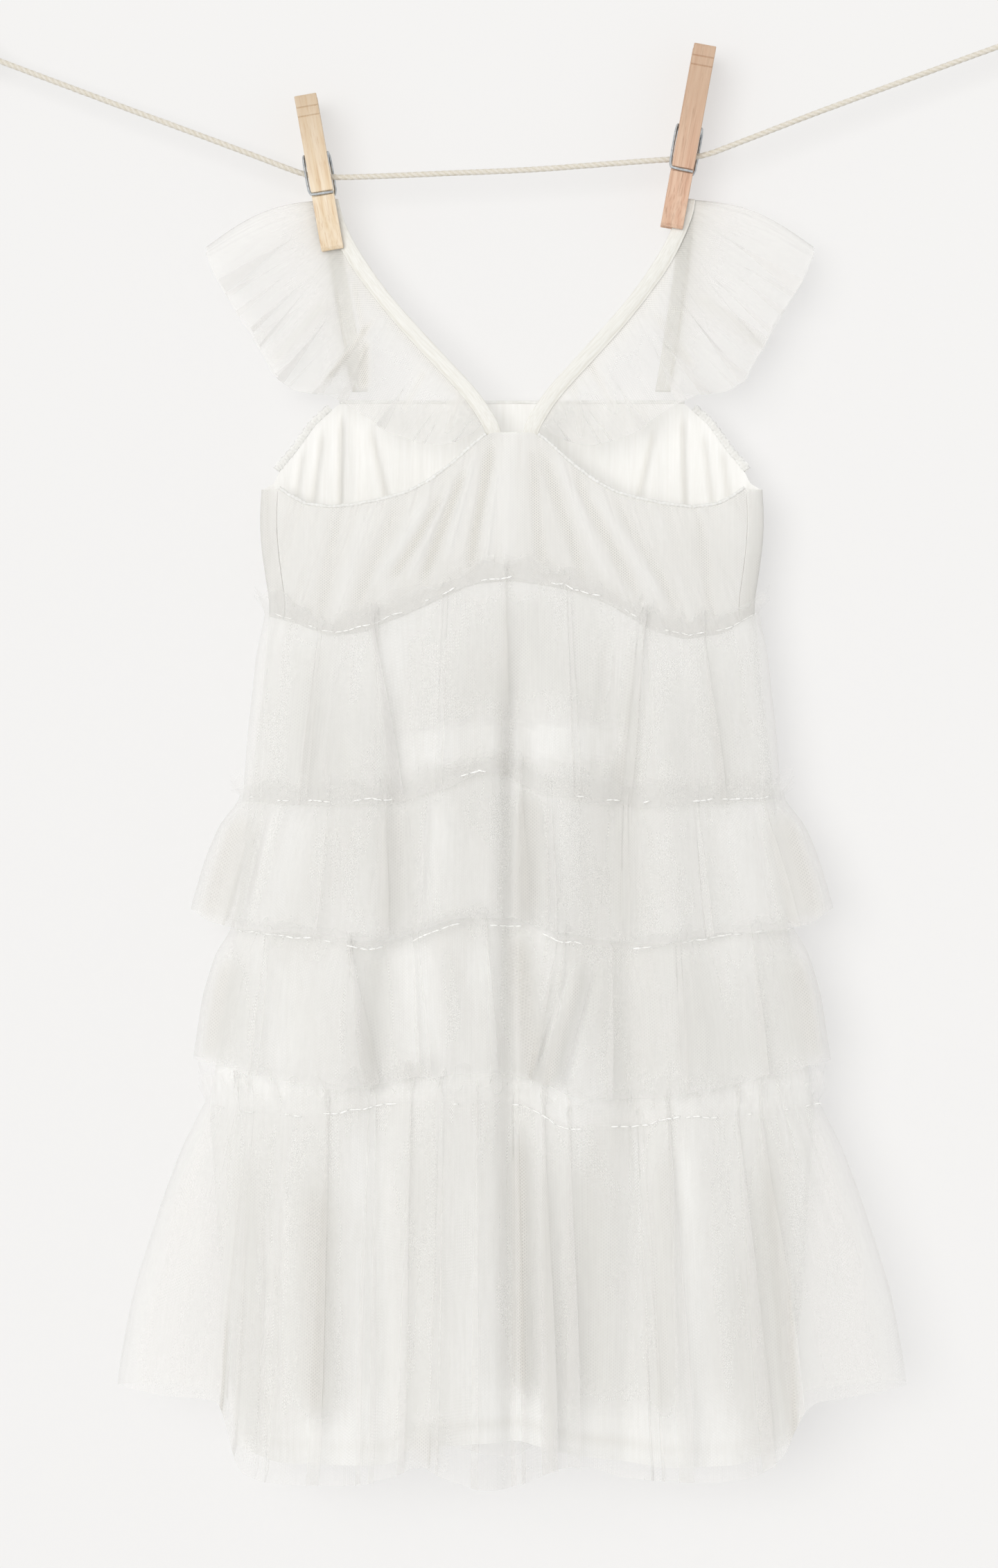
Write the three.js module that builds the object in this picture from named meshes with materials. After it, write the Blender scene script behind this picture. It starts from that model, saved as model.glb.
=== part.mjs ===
// A toddler's tiered tulle dress, held at both shoulders by a wooden clothes-peg on a taut clothesline.
// Millimetres, +Z up. The front of the dress faces -Y, and X runs to the viewer's right.
// The origin is the middle of the line between the two pegs.
//
// The body is a flattened tube: every level of it is a ring, HALF_WIDTH wide and HALF_DEPTH deep.
// A place on a ring is its share across (-1 at the left side seam, +1 at the right one) and its side:
// FRONT or BACK. Each tier stands off that tube by its own table of sections.
import * as THREE from "three";

// ---- Driving dimensions ----
const CLOTH = 1.2; // thickness of every cloth wall
const SEAM_GAP = 0.3; // clear space between two pieces that are sewn together
const LAP = CLOTH + SEAM_GAP; // from the middle of one layer to the middle of the layer sewn over it
const SIDE_SEAM = 0.93; // share across at which the front bodice is sewn to the back bodice
const FRONT = -1;
const BACK = 1;

const STRAP_WIDTH = 7;
const NECK_CORNER = 0.69; // share across at which the back neckline turns down into the armhole
const PIPING_RADIUS = 0.9;
const ELASTIC_RADIUS = 1.2;
const BINDING_RADIUS = 1;

const LINE_RADIUS = 1.4;
const KNOT_RADIUS = 3.2;
const LOOP_RADIUS = 6.5;

const PEG_WIDTH = 10.3;
const WIRE_RADIUS = 0.65;
const COIL_RADIUS = 3.2;
const COIL_TURNS = 5.5;

const COLOURS = {
  tulle: 0xe9e7e2,
  lining: 0xf1f0ec,
  binding: 0xe7e4db,
  birch: 0xdcbf98,
  beech: 0xd7ab88,
  steel: 0xa9a9a6,
  cotton: 0xd9cdb2,
};

// ---- Tables ----
// Shares across the front or back, from the middle to a side seam, at which each panel has an edge line.
const HALF_STATIONS = [0, 0.07, 0.14, 0.21, 0.28, 0.35, 0.42, 0.49, 0.56, 0.63, 0.69, 0.72, 0.82, 0.93, 1];

// The tube of bodice and lining, a row for each level.
const BODY = [
  { height: -100, halfWidth: 115.6, halfDepth: 8.5 },
  { height: -147.5, halfWidth: 115.6, halfDepth: 12 },
  { height: -158.5, halfWidth: 116.5, halfDepth: 12.5 },
  { height: -172, halfWidth: 116, halfDepth: 13 },
  { height: -187, halfWidth: 114, halfDepth: 13.5 },
  { height: -200, halfWidth: 111.8, halfDepth: 14 },
  { height: -240, halfWidth: 115, halfDepth: 15.5 },
  { height: -290, halfWidth: 121.5, halfDepth: 17 },
  { height: -350, halfWidth: 127.5, halfDepth: 19 },
  { height: -432, halfWidth: 139.5, halfDepth: 22 },
  { height: -520, halfWidth: 134, halfDepth: 23.5 },
  { height: -605, halfWidth: 125, halfDepth: 24 },
];

// The long folds that lining and tiers share: place and reach as shares across, and how far they stand out.
const BODY_FOLDS = [
  { across: 0.01, reach: 0.05, out: -8 },
  { across: -0.42, reach: 0.07, out: -5 },
  { across: 0.42, reach: 0.07, out: -4.5 },
  { across: -0.24, reach: 0.08, out: 2.5 },
  { across: 0.2, reach: 0.08, out: 2.5 },
  { across: -0.6, reach: 0.08, out: 2 },
  { across: 0.6, reach: 0.08, out: 2.5 },
];
const FOLDS_START = -210; // height at which the long folds begin
const FOLDS_FULL = -265; // height from which they have their whole depth

// Top edges of the bodice, the same on both halves: x is the distance from the middle.
const CHEST_EDGE = [
  { x: 0, z: -121.4 },
  { x: 10, z: -121.6 },
  { x: 15.6, z: -125.7 },
  { x: 25.7, z: -135 },
  { x: 37.4, z: -144 },
  { x: 47.5, z: -149.5 },
  { x: 59.3, z: -152.8 },
  { x: 71.1, z: -155.1 },
  { x: 82.8, z: -156.4 },
  { x: 94.6, z: -154.8 },
  { x: 103, z: -150.4 },
  { x: 107.5, z: -147 },
];
const BACK_EDGE = [
  { x: 0, z: -107 },
  { x: 80, z: -107 },
  { x: 91, z: -117 },
  { x: 99.5, z: -129 },
  { x: 108, z: -139 },
  { x: 110, z: -144 },
  { x: 115.6, z: -147.5 },
];
// Seam and hem lines, right across the front. At the side seams a line of the back has the same height,
// and between them it follows the front's rise and fall by this share.
const SEAM_FOLLOWS = 0.3;
const HEM_FOLLOWS = 0.9;
const EMPIRE_SEAM = {
  backFollows: SEAM_FOLLOWS,
  rows: [
    { x: -114, z: -204 },
    { x: -102, z: -207 },
    { x: -85, z: -213.5 },
    { x: -70, z: -212 },
    { x: -50, z: -204 },
    { x: -31.5, z: -195.5 },
    { x: -18, z: -189.6 },
    { x: 0, z: -188 },
    { x: 22, z: -191.3 },
    { x: 44, z: -198 },
    { x: 64, z: -210.6 },
    { x: 80, z: -215 },
    { x: 98, z: -212.3 },
    { x: 114, z: -203 },
  ],
};
const SECOND_SEAM = {
  backFollows: SEAM_FOLLOWS,
  rows: [
    { x: -125, z: -289 },
    { x: -90, z: -291 },
    { x: -55, z: -290 },
    { x: -30, z: -283 },
    { x: -15, z: -276.6 },
    { x: -5, z: -277 },
    { x: 15.6, z: -287 },
    { x: 46, z: -290.5 },
    { x: 59, z: -291.4 },
    { x: 125, z: -289 },
  ],
};
const THIRD_SEAM = {
  backFollows: SEAM_FOLLOWS,
  rows: [
    { x: -129, z: -350 },
    { x: -94, z: -353.5 },
    { x: -66.5, z: -358.8 },
    { x: -50, z: -356.7 },
    { x: -25, z: -347 },
    { x: 5, z: -348 },
    { x: 17, z: -353.5 },
    { x: 48.5, z: -358.8 },
    { x: 67, z: -357.7 },
    { x: 88, z: -354 },
    { x: 129, z: -349 },
  ],
};
const FOURTH_SEAM = {
  backFollows: SEAM_FOLLOWS,
  rows: [
    { x: -141, z: -431 },
    { x: -96, z: -436 },
    { x: -83, z: -434 },
    { x: -45, z: -428.4 },
    { x: 0, z: -429.5 },
    { x: 11, z: -432 },
    { x: 23, z: -440 },
    { x: 59, z: -440.4 },
    { x: 70, z: -436 },
    { x: 109, z: -435 },
    { x: 141, z: -431 },
  ],
};
const SECOND_HEM = {
  backFollows: HEM_FOLLOWS,
  rows: [
    { x: -148.3, z: -339 },
    { x: -140, z: -345.5 },
    { x: -123, z: -349.5 },
    { x: -94, z: -351 },
    { x: -66, z: -355.5 },
    { x: -50, z: -353.5 },
    { x: -25, z: -344 },
    { x: 3, z: -344.5 },
    { x: 17, z: -350.5 },
    { x: 48, z: -355.5 },
    { x: 67, z: -355 },
    { x: 94, z: -351 },
    { x: 123, z: -349.5 },
    { x: 140, z: -345.5 },
    { x: 148.3, z: -339 },
  ],
};
const THIRD_HEM = {
  backFollows: HEM_FOLLOWS,
  rows: [
    { x: -147.2, z: -409 },
    { x: -139, z: -411 },
    { x: -115, z: -416 },
    { x: -80, z: -423 },
    { x: -45, z: -417 },
    { x: -10, z: -414 },
    { x: 5, z: -417 },
    { x: 30, z: -426 },
    { x: 60, z: -427 },
    { x: 100, z: -421 },
    { x: 139, z: -411 },
    { x: 147.2, z: -409 },
  ],
};
const FOURTH_HEM = {
  backFollows: HEM_FOLLOWS,
  rows: [
    { x: -183, z: -560 },
    { x: -137, z: -565 },
    { x: -131, z: -570 },
    { x: -126, z: -597 },
    { x: -110, z: -602 },
    { x: -75, z: -603.3 },
    { x: -52, z: -598 },
    { x: -42, z: -592 },
    { x: -28, z: -598 },
    { x: -12, z: -603 },
    { x: 0, z: -603.5 },
    { x: 20, z: -593 },
    { x: 38, z: -593.6 },
    { x: 50, z: -599 },
    { x: 93, z: -601 },
    { x: 115, z: -597 },
    { x: 126, z: -590 },
    { x: 131, z: -572 },
    { x: 137, z: -566 },
    { x: 183, z: -560 },
  ],
};
const LINING_HEM = {
  backFollows: HEM_FOLLOWS,
  rows: [
    { x: -126, z: -588 },
    { x: -108, z: -595 },
    { x: -55, z: -595 },
    { x: -44, z: -586 },
    { x: 4, z: -584 },
    { x: 30, z: -590 },
    { x: 68, z: -596 },
    { x: 103, z: -596 },
    { x: 126, z: -588 },
  ],
};

// Each tier is gathered on its seam line, with a raw edge standing above it and a hem below. Its sections
// give how far it stands off the tube: down is -1 at the raw edge, 0 at the seam and 1 at the hem.
// Its own folds are places and reaches as shares across, and how far they stand out at the hem.
const TIERS = [
  {
    name: "tier_1",
    seam: EMPIRE_SEAM,
    hem: SECOND_SEAM,
    underlap: 2,
    heading: 9,
    sections: [
      { down: -1, wide: 4.5, deep: 3.8 },
      { down: 0, wide: LAP, deep: LAP },
      { down: 0.23, wide: 4.6, deep: 3.2 },
      { down: 0.57, wide: 4.9, deep: 4.4 },
      { down: 0.88, wide: 3.6, deep: 4.5 },
      { down: 1, wide: 3, deep: 4.5 },
    ],
    folds: [],
  },
  {
    name: "tier_2",
    seam: SECOND_SEAM,
    hem: SECOND_HEM,
    underlap: 0,
    heading: 9,
    sections: [
      { down: -1, wide: 6.4, deep: 8.2 },
      { down: 0, wide: 3 + LAP, deep: 4.5 + LAP },
      { down: 0.25, wide: 12.5, deep: 9 },
      { down: 0.55, wide: 17.5, deep: 12 },
      { down: 1, wide: 22, deep: 14 },
    ],
    folds: [
      { across: -0.85, reach: 0.06, out: 2 },
      { across: -0.66, reach: 0.06, out: -3 },
      { across: -0.45, reach: 0.06, out: 3 },
      { across: -0.16, reach: 0.06, out: 2.5 },
      { across: 0.1, reach: 0.05, out: 3 },
      { across: 0.3, reach: 0.06, out: -2 },
      { across: 0.5, reach: 0.06, out: 2.5 },
      { across: 0.72, reach: 0.06, out: -2.5 },
    ],
  },
  {
    name: "tier_3",
    seam: THIRD_SEAM,
    hem: THIRD_HEM,
    underlap: 0,
    heading: 6,
    sections: [
      { down: -1, wide: 3, deep: 3 },
      { down: 0, wide: LAP, deep: LAP },
      { down: 0.17, wide: 7.5, deep: 4.5 },
      { down: 0.5, wide: 10.8, deep: 8.5 },
      { down: 1, wide: 11, deep: 11.5 },
    ],
    folds: [
      { across: -0.8, reach: 0.06, out: -2 },
      { across: -0.5, reach: 0.06, out: 2.5 },
      { across: -0.27, reach: 0.05, out: -2 },
      { across: -0.1, reach: 0.05, out: 3 },
      { across: 0.14, reach: 0.05, out: 3.5 },
      { across: 0.35, reach: 0.06, out: -2 },
      { across: 0.63, reach: 0.06, out: 2 },
      { across: 0.85, reach: 0.06, out: -1.5 },
    ],
  },
  {
    name: "tier_4",
    seam: FOURTH_SEAM,
    hem: FOURTH_HEM,
    underlap: 0,
    heading: 11,
    sections: [
      { down: -1, wide: 3.6, deep: 3.6 },
      { down: 0, wide: LAP, deep: LAP },
      { down: 0.1, wide: 11, deep: 4 },
      { down: 0.32, wide: 23.5, deep: 8 },
      { down: 0.65, wide: 40, deep: 11.5 },
      { down: 1, wide: 53, deep: 14 },
    ],
    folds: [
      { across: -0.78, reach: 0.06, out: -6 },
      { across: -0.66, reach: 0.06, out: 5 },
      { across: -0.49, reach: 0.05, out: -5 },
      { across: -0.36, reach: 0.05, out: 5 },
      { across: -0.14, reach: 0.06, out: 4 },
      { across: 0.12, reach: 0.05, out: 5 },
      { across: 0.28, reach: 0.06, out: -3 },
      { across: 0.43, reach: 0.05, out: 5 },
      { across: 0.66, reach: 0.06, out: 5 },
      { across: 0.78, reach: 0.06, out: -6 },
    ],
  },
];

// Middle line of a shoulder strap, for the right-hand side of the dress (x mirrors for the other one),
// from the front neck point over the shoulder to the back neckline. Lean is the slant of its width.
const STRAP = [
  { x: 7.9, y: -9.9, z: -121, lean: 0 },
  { x: 11.5, y: -9.4, z: -114.3, lean: 38 },
  { x: 19.2, y: -8.6, z: -102.8, lean: 46 },
  { x: 32.8, y: -7.4, z: -88.2, lean: 46 },
  { x: 51.3, y: -5.6, z: -67.6, lean: 44 },
  { x: 62.5, y: -3.4, z: -53, lean: 40 },
  { x: 70.5, y: -1.6, z: -41, lean: 33 },
  { x: 76.2, y: -0.9, z: -30, lean: 24 },
  { x: 80, y: -0.9, z: -20, lean: 12 },
  { x: 81, y: -0.9, z: -14.6, lean: 2 },
  { x: 81.1, y: -0.64, z: -13.76, lean: 0 },
  { x: 81.2, y: 0, z: -13.4, lean: 0 },
  { x: 81.1, y: 0.64, z: -13.76, lean: 0 },
  { x: 81, y: 0.9, z: -14.6, lean: 2 },
  { x: 79.6, y: 0.9, z: -36, lean: 6 },
  { x: 77, y: 2.6, z: -56, lean: 8 },
  { x: 73, y: 5.1, z: -82, lean: 8 },
  { x: 69.5, y: 7, z: -104.3, lean: 0 },
];

// Free edge of the flutter ruffle that is gathered on the strap's outer edge. Along counts strap rows.
const RUFFLE_EDGE = [
  { along: 0.75, x: 17, y: -10, z: -121.6 },
  { along: 1.2, x: 24.5, y: -12.5, z: -125.6 },
  { along: 1.8, x: 33, y: -10.5, z: -127.4 },
  { along: 2.4, x: 44, y: -13, z: -126.4 },
  { along: 3, x: 55, y: -10, z: -122.5 },
  { along: 3.5, x: 66, y: -13, z: -115.5 },
  { along: 4, x: 76, y: -9.5, z: -108 },
  { along: 4.5, x: 86, y: -13.5, z: -103.8 },
  { along: 5, x: 98, y: -7.5, z: -103.3 },
  { along: 5.6, x: 108, y: -12, z: -97 },
  { along: 6.3, x: 113.5, y: -7.5, z: -86.5 },
  { along: 7, x: 120, y: -10, z: -72.5 },
  { along: 7.7, x: 128.5, y: -6, z: -59.5 },
  { along: 8.3, x: 135.5, y: -7.5, z: -48 },
  { along: 9, x: 138.6, y: -5, z: -40 },
  { along: 10, x: 139.4, y: -3, z: -36.5 },
  { along: 11, x: 139.5, y: 0, z: -35.2 },
  { along: 12, x: 139.4, y: 3, z: -36.5 },
  { along: 13, x: 138.6, y: 5, z: -40 },
  { along: 13.6, x: 132, y: 7.5, z: -54 },
  { along: 14.2, x: 124, y: 6.5, z: -68 },
  { along: 14.8, x: 116, y: 10, z: -82 },
  { along: 15.4, x: 109, y: 8.5, z: -94 },
  { along: 15.9, x: 101, y: 12, z: -100.5 },
  { along: 16.3, x: 91, y: 10.5, z: -102.5 },
  { along: 16.7, x: 81, y: 13, z: -102 },
  { along: 16.9, x: 75.5, y: 11, z: -101.5 },
];
const RUFFLE_COLUMNS = [0, 0.2, 0.45, 0.72, 1];

// The two pegs: foot is the middle of the jaw tips, tilt leans the handles outwards, and lineAt, coilAt
// and wireAt are distances up from the foot to the line, the spring's coil and its front wire.
const PEGS = [
  {
    name: "peg_left",
    wood: "birch",
    footX: -82.7,
    footZ: -36.8,
    tilt: -10,
    length: 72,
    lineAt: 34.9,
    coilAt: 42,
    wireAt: 26,
  },
  {
    name: "peg_right",
    wood: "beech",
    footX: 73.6,
    footZ: -26.5,
    tilt: 10.4,
    length: 85,
    lineAt: 33,
    coilAt: 44.5,
    wireAt: 26.6,
  },
];

// The clothesline, stretch by stretch, each from one end to the other.
const LINE_STRETCHES = {
  line_left: [
    [-88.9, -2.4],
    [-92, -2.2],
    [-95, -1.9],
    [-99, -0.6],
    [-104, 1.3],
    [-110, 3.6],
    [-118, 6.7],
    [-130, 11.2],
    [-143.6, 16.3],
    [-157, 21.2],
    [-171, 26.3],
    [-185, 31.5],
    [-200, 37.1],
    [-215, 42.7],
    [-228, 47.6],
    [-240, 52.1],
  ],
  line_middle: [
    [-88.5, -2.4],
    [-84, -2.8],
    [-80, -3],
    [-75, -2.9],
    [-65, -2.6],
    [-50, -2],
    [-33, -1.2],
    [-16, -0.5],
    [0, 0],
    [15, 0.9],
    [30, 2.1],
    [45, 3.3],
    [58, 4.3],
    [67, 5],
    [73, 5.3],
    [79.2, 5.8],
  ],
  line_right: [
    [79.6, 5.9],
    [84, 6.4],
    [88, 6.9],
    [93, 8.4],
    [100, 11.2],
    [108, 14.3],
    [119, 18.5],
    [131, 23.2],
    [144.4, 28.3],
    [157, 32.9],
    [170, 37.6],
    [184, 42.7],
    [198, 47.8],
    [210, 52.2],
    [219, 55.4],
    [229, 59],
  ],
};

// ---- Reading the tables ----
function between(rows, key, at, column) {
  if (at <= rows[0][key]) return rows[0][column];
  for (let i = 1; i < rows.length; i += 1) {
    const low = rows[i - 1];
    const high = rows[i];
    if (at <= high[key]) {
      const share = (at - low[key]) / (high[key] - low[key]);
      return low[column] + share * (high[column] - low[column]);
    }
  }
  return rows[rows.length - 1][column];
}

const BODY_UPWARDS = [...BODY].reverse();
const bodyWidth = (z) => between(BODY_UPWARDS, "height", z, "halfWidth");
const bodyDepth = (z) => between(BODY_UPWARDS, "height", z, "halfDepth");

const smoothStep = (share) => {
  const held = Math.min(1, Math.max(0, share));
  return held * held * (3 - 2 * held);
};

function foldSum(folds, across) {
  return folds.reduce((sum, fold) => {
    const distance = (across - fold.across) / fold.reach;
    return sum + fold.out * Math.exp(-distance * distance);
  }, 0);
}

// The back has the same folds as the front, seen through it, and a little softer.
const BACK_SOFTNESS = 0.8;
const sideFolds = (folds, across, side) => (side === FRONT ? foldSum(folds, across) : BACK_SOFTNESS * foldSum(folds, across));

function bodyFold(across, side, z) {
  return sideFolds(BODY_FOLDS, across, side) * smoothStep((FOLDS_START - z) / (FOLDS_START - FOLDS_FULL));
}

// A seam or hem line's height at a share across.
function lineHeight(line, across, side) {
  const reach = line.rows[line.rows.length - 1].x;
  const front = between(line.rows, "x", across * reach, "z");
  if (side === FRONT) return front;
  const atSide = between(line.rows, "x", Math.sign(across || 1) * reach, "z");
  return atSide + line.backFollows * (front - atSide);
}

// A point on a ring of the tube, moved out by wide and deep.
function ringPoint(across, side, z, wide, deep, gap) {
  const bow = Math.sqrt(Math.max(0, 1 - across * across));
  const depth = bodyDepth(z) + bodyFold(across, side, z) + deep;
  return new THREE.Vector3(across * (bodyWidth(z) + wide), side * (gap / 2 + depth * bow), z);
}

const stations = (limit) => {
  const half = HALF_STATIONS.filter((share) => share <= limit);
  return [...half.slice(1).reverse().map((share) => -share), ...half];
};

// ---- Closed cloth walls ----
// Outer and inner are the two faces of a wall, as rows of points that match one to one.
function closedWall(outer, inner) {
  const rowCount = outer.length;
  const columnCount = outer[0].length;
  const positions = [...outer, ...inner].flat().flatMap((point) => point.toArray());
  const faces = [];
  const outerAt = (row, column) => row * columnCount + column;
  const innerAt = (row, column) => (rowCount + row) * columnCount + column;
  const quad = (a, b, c, d) => faces.push(a, b, c, a, c, d);
  for (let row = 0; row < rowCount - 1; row += 1) {
    for (let column = 0; column < columnCount - 1; column += 1) {
      quad(outerAt(row, column), outerAt(row + 1, column), outerAt(row + 1, column + 1), outerAt(row, column + 1));
      quad(innerAt(row, column), innerAt(row, column + 1), innerAt(row + 1, column + 1), innerAt(row + 1, column));
    }
  }
  for (let column = 0; column < columnCount - 1; column += 1) {
    const last = rowCount - 1;
    quad(outerAt(0, column), outerAt(0, column + 1), innerAt(0, column + 1), innerAt(0, column));
    quad(outerAt(last, column), innerAt(last, column), innerAt(last, column + 1), outerAt(last, column + 1));
  }
  for (let row = 0; row < rowCount - 1; row += 1) {
    const last = columnCount - 1;
    quad(outerAt(row, 0), innerAt(row, 0), innerAt(row + 1, 0), outerAt(row + 1, 0));
    quad(outerAt(row, last), outerAt(row + 1, last), innerAt(row + 1, last), innerAt(row, last));
  }
  const geometry = new THREE.BufferGeometry();
  geometry.setAttribute("position", new THREE.Float32BufferAttribute(positions, 3));
  geometry.setIndex(signedVolume(positions, faces) < 0 ? turnedRound(faces) : faces);
  geometry.computeVertexNormals();
  return geometry;
}

function signedVolume(positions, faces) {
  const corner = (index) => new THREE.Vector3().fromArray(positions, index * 3);
  let volume = 0;
  for (let i = 0; i < faces.length; i += 3) {
    volume += corner(faces[i]).dot(corner(faces[i + 1]).cross(corner(faces[i + 2]))) / 6;
  }
  return volume;
}

function turnedRound(faces) {
  const turned = [];
  for (let i = 0; i < faces.length; i += 3) turned.push(faces[i], faces[i + 2], faces[i + 1]);
  return turned;
}

// A wall about a middle sheet of points, thickened along the sheet's own normals.
function wallAbout(sheet, thickness) {
  const rowCount = sheet.length;
  const columnCount = sheet[0].length;
  const shifted = (half) =>
    sheet.map((points, row) =>
      points.map((point, column) => {
        const down = sheet[Math.min(row + 1, rowCount - 1)][column]
          .clone()
          .sub(sheet[Math.max(row - 1, 0)][column]);
        const across = points[Math.min(column + 1, columnCount - 1)]
          .clone()
          .sub(points[Math.max(column - 1, 0)]);
        return point.clone().addScaledVector(down.cross(across).normalize(), half);
      }),
    );
  return closedWall(shifted(thickness / 2), shifted(-thickness / 2));
}

const MATERIALS = Object.fromEntries(
  Object.entries(COLOURS).map(([name, colour]) => [
    name,
    { color: colour, roughness: name === "steel" ? 0.35 : 0.85, metalness: name === "steel" ? 1 : 0 },
  ]),
);

function named(name, geometry, finish) {
  const mesh = new THREE.Mesh(geometry, new THREE.MeshStandardMaterial({ ...MATERIALS[finish], side: THREE.DoubleSide }));
  mesh.name = name;
  return mesh;
}

const dress = new THREE.Group();

// ---- Bodice ----
// Share of the way down each bodice panel, from its top edge to just below the empire seam.
const BODICE_ROWS = [0, 0.25, 0.52, 0.8, 1];
const BODICE_UNDERLAP = 1.5;

function bodicePoint(place, down, offset, edge) {
  const reach = bodyWidth(-147.5);
  const top = between(edge, "x", Math.abs(place.across) * reach, "z");
  const bottom = lineHeight(EMPIRE_SEAM, place.across, place.side) - BODICE_UNDERLAP;
  const z = top + down * (bottom - top);
  return ringPoint(place.across, place.side, z, offset, offset, 0);
}

function bodicePanel(places, edgeOf) {
  const face = (offset) =>
    BODICE_ROWS.map((down) => places.map((place) => bodicePoint(place, down, offset, edgeOf(place))));
  return closedWall(face(CLOTH / 2), face(-CLOTH / 2));
}

const frontPlaces = stations(SIDE_SEAM).map((across) => ({ across, side: FRONT }));
dress.add(named("front_bodice", bodicePanel(frontPlaces, () => CHEST_EDGE), "tulle"));

// The back bodice reaches round both sides to the side seams on the front.
const WRAP = SIDE_SEAM + 0.0035;
const backPlaces = [
  { across: -WRAP, side: FRONT },
  ...stations(1).map((across) => ({ across, side: BACK })),
  { across: WRAP, side: FRONT },
];
const WRAP_EDGE = [
  { x: 0, z: -147.2 },
  { x: 115.6, z: -147.2 },
];
const backEdgeOf = (place) => (place.side === FRONT ? WRAP_EDGE : BACK_EDGE);
dress.add(named("back_bodice", bodicePanel(backPlaces, backEdgeOf), "tulle"));

// ---- Edgings of the bodice ----
function roundTube(points, radius, sides, steps) {
  const section = new THREE.Shape();
  for (let i = 0; i < sides; i += 1) {
    const angle = (2 * Math.PI * i) / sides;
    const corner = [radius * Math.cos(angle), radius * Math.sin(angle)];
    if (i === 0) section.moveTo(...corner);
    else section.lineTo(...corner);
  }
  section.closePath();
  return new THREE.ExtrudeGeometry(section, {
    steps,
    bevelEnabled: false,
    curveSegments: 1,
    extrudePath: new THREE.CatmullRomCurve3(points, false, "centripetal"),
  });
}

// A round edging that runs along a bodice edge, a seam gap clear of it.
const EDGING_SIDES = 6;
const EDGING_CLEARANCE = 0.6; // the tube cuts the corners of the faceted edge, so it lies this far off it
function edging(places, edge, radius, sign) {
  const rim = places.map((across) => bodicePoint({ across: sign * across, side: edge === CHEST_EDGE ? FRONT : BACK }, 0, 0, edge));
  const lift = radius + EDGING_CLEARANCE;
  const path = rim.map((point, i) => {
    const along = rim[Math.min(i + 1, rim.length - 1)].clone().sub(rim[Math.max(i - 1, 0)]);
    const upward = new THREE.Vector3(-along.z, 0, along.x).normalize();
    if (upward.z < 0) upward.negate();
    return point.clone().addScaledVector(upward, lift);
  });
  return roundTube(path, radius, EDGING_SIDES, path.length - 1);
}

const pipingPlaces = HALF_STATIONS.filter((share) => share >= 0.14 && share <= SIDE_SEAM);
const elasticPlaces = [0.735, 0.77, 0.82, 0.88, 0.93];
for (const [end, sign] of [
  ["left", -1],
  ["right", 1],
]) {
  dress.add(named("armhole_piping_" + end, edging(pipingPlaces, CHEST_EDGE, PIPING_RADIUS, sign), "binding"));
  dress.add(named("armhole_elastic_" + end, edging(elasticPlaces, BACK_EDGE, ELASTIC_RADIUS, sign), "tulle"));
}
const neckPlaces = [-NECK_CORNER, -0.42, -0.2, 0, 0.2, 0.42, NECK_CORNER];
dress.add(named("back_neck_binding", edging(neckPlaces, BACK_EDGE, BINDING_RADIUS, 1), "binding"));

// ---- Lining ----
// Its rows follow the seam lines, so that each tier lies evenly on it where it is stitched down.
const LINING_TOP_GAP = 0.3;
function liningRows(across, side) {
  const seams = [EMPIRE_SEAM, SECOND_SEAM, THIRD_SEAM, FOURTH_SEAM].map((line) => lineHeight(line, across, side));
  const hem = lineHeight(LINING_HEM, across, side);
  const top = seams[0] - BODICE_UNDERLAP - LINING_TOP_GAP;
  const middle = (a, b) => (a + b) / 2;
  return [
    top,
    middle(top, seams[1]),
    seams[1],
    seams[2],
    seams[3],
    middle(seams[3], hem),
    hem,
  ];
}

function liningPanel(side) {
  const rowCount = liningRows(0, side).length;
  const face = (offset) =>
    Array.from({ length: rowCount }, (_, row) =>
      stations(1).map((across) => ringPoint(across, side, liningRows(across, side)[row], offset, offset, SEAM_GAP)),
    );
  return closedWall(face(CLOTH / 2), face(-CLOTH / 2));
}

// ---- Tiers ----
function tierPoint(tier, across, side, down, offset) {
  const seam = lineHeight(tier.seam, across, side);
  const hem = lineHeight(tier.hem, across, side) - tier.underlap;
  const z = down < 0 ? seam - down * tier.heading : seam + down * (hem - seam);
  const wide = between(tier.sections, "down", down, "wide");
  const deep = between(tier.sections, "down", down, "deep");
  const own = down > 0 ? sideFolds(tier.folds, across, side) * Math.pow(down, 1.3) : 0;
  return ringPoint(across, side, z, wide + offset, deep + own + offset, SEAM_GAP);
}

function tierPanel(tier, side) {
  const face = (offset) =>
    tier.sections.map((section) =>
      stations(1).map((across) => tierPoint(tier, across, side, section.down, offset)),
    );
  return closedWall(face(CLOTH / 2), face(-CLOTH / 2));
}

for (const [end, side] of [
  ["front", FRONT],
  ["back", BACK],
]) {
  dress.add(named("lining_" + end, liningPanel(side), "lining"));
  for (const tier of TIERS) dress.add(named(tier.name + "_" + end, tierPanel(tier, side), "tulle"));
}

// ---- Straps and flutter ruffles ----
const strapCurve = new THREE.CatmullRomCurve3(STRAP.map((row) => new THREE.Vector3(row.x, row.y, row.z)));
const STRAP_STEPS = 2; // steps for each row of the strap's table

// A point of the strap, counted in rows of its table, moved outwards along its slanting width.
function strapPoint(row, sideways) {
  const lower = Math.min(Math.floor(row), STRAP.length - 2);
  const share = row - lower;
  const lean = THREE.MathUtils.degToRad(STRAP[lower].lean + share * (STRAP[lower + 1].lean - STRAP[lower].lean));
  const point = strapCurve.getPoint(row / (STRAP.length - 1));
  return point.add(new THREE.Vector3(Math.cos(lean), 0, -Math.sin(lean)).multiplyScalar(sideways));
}

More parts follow.
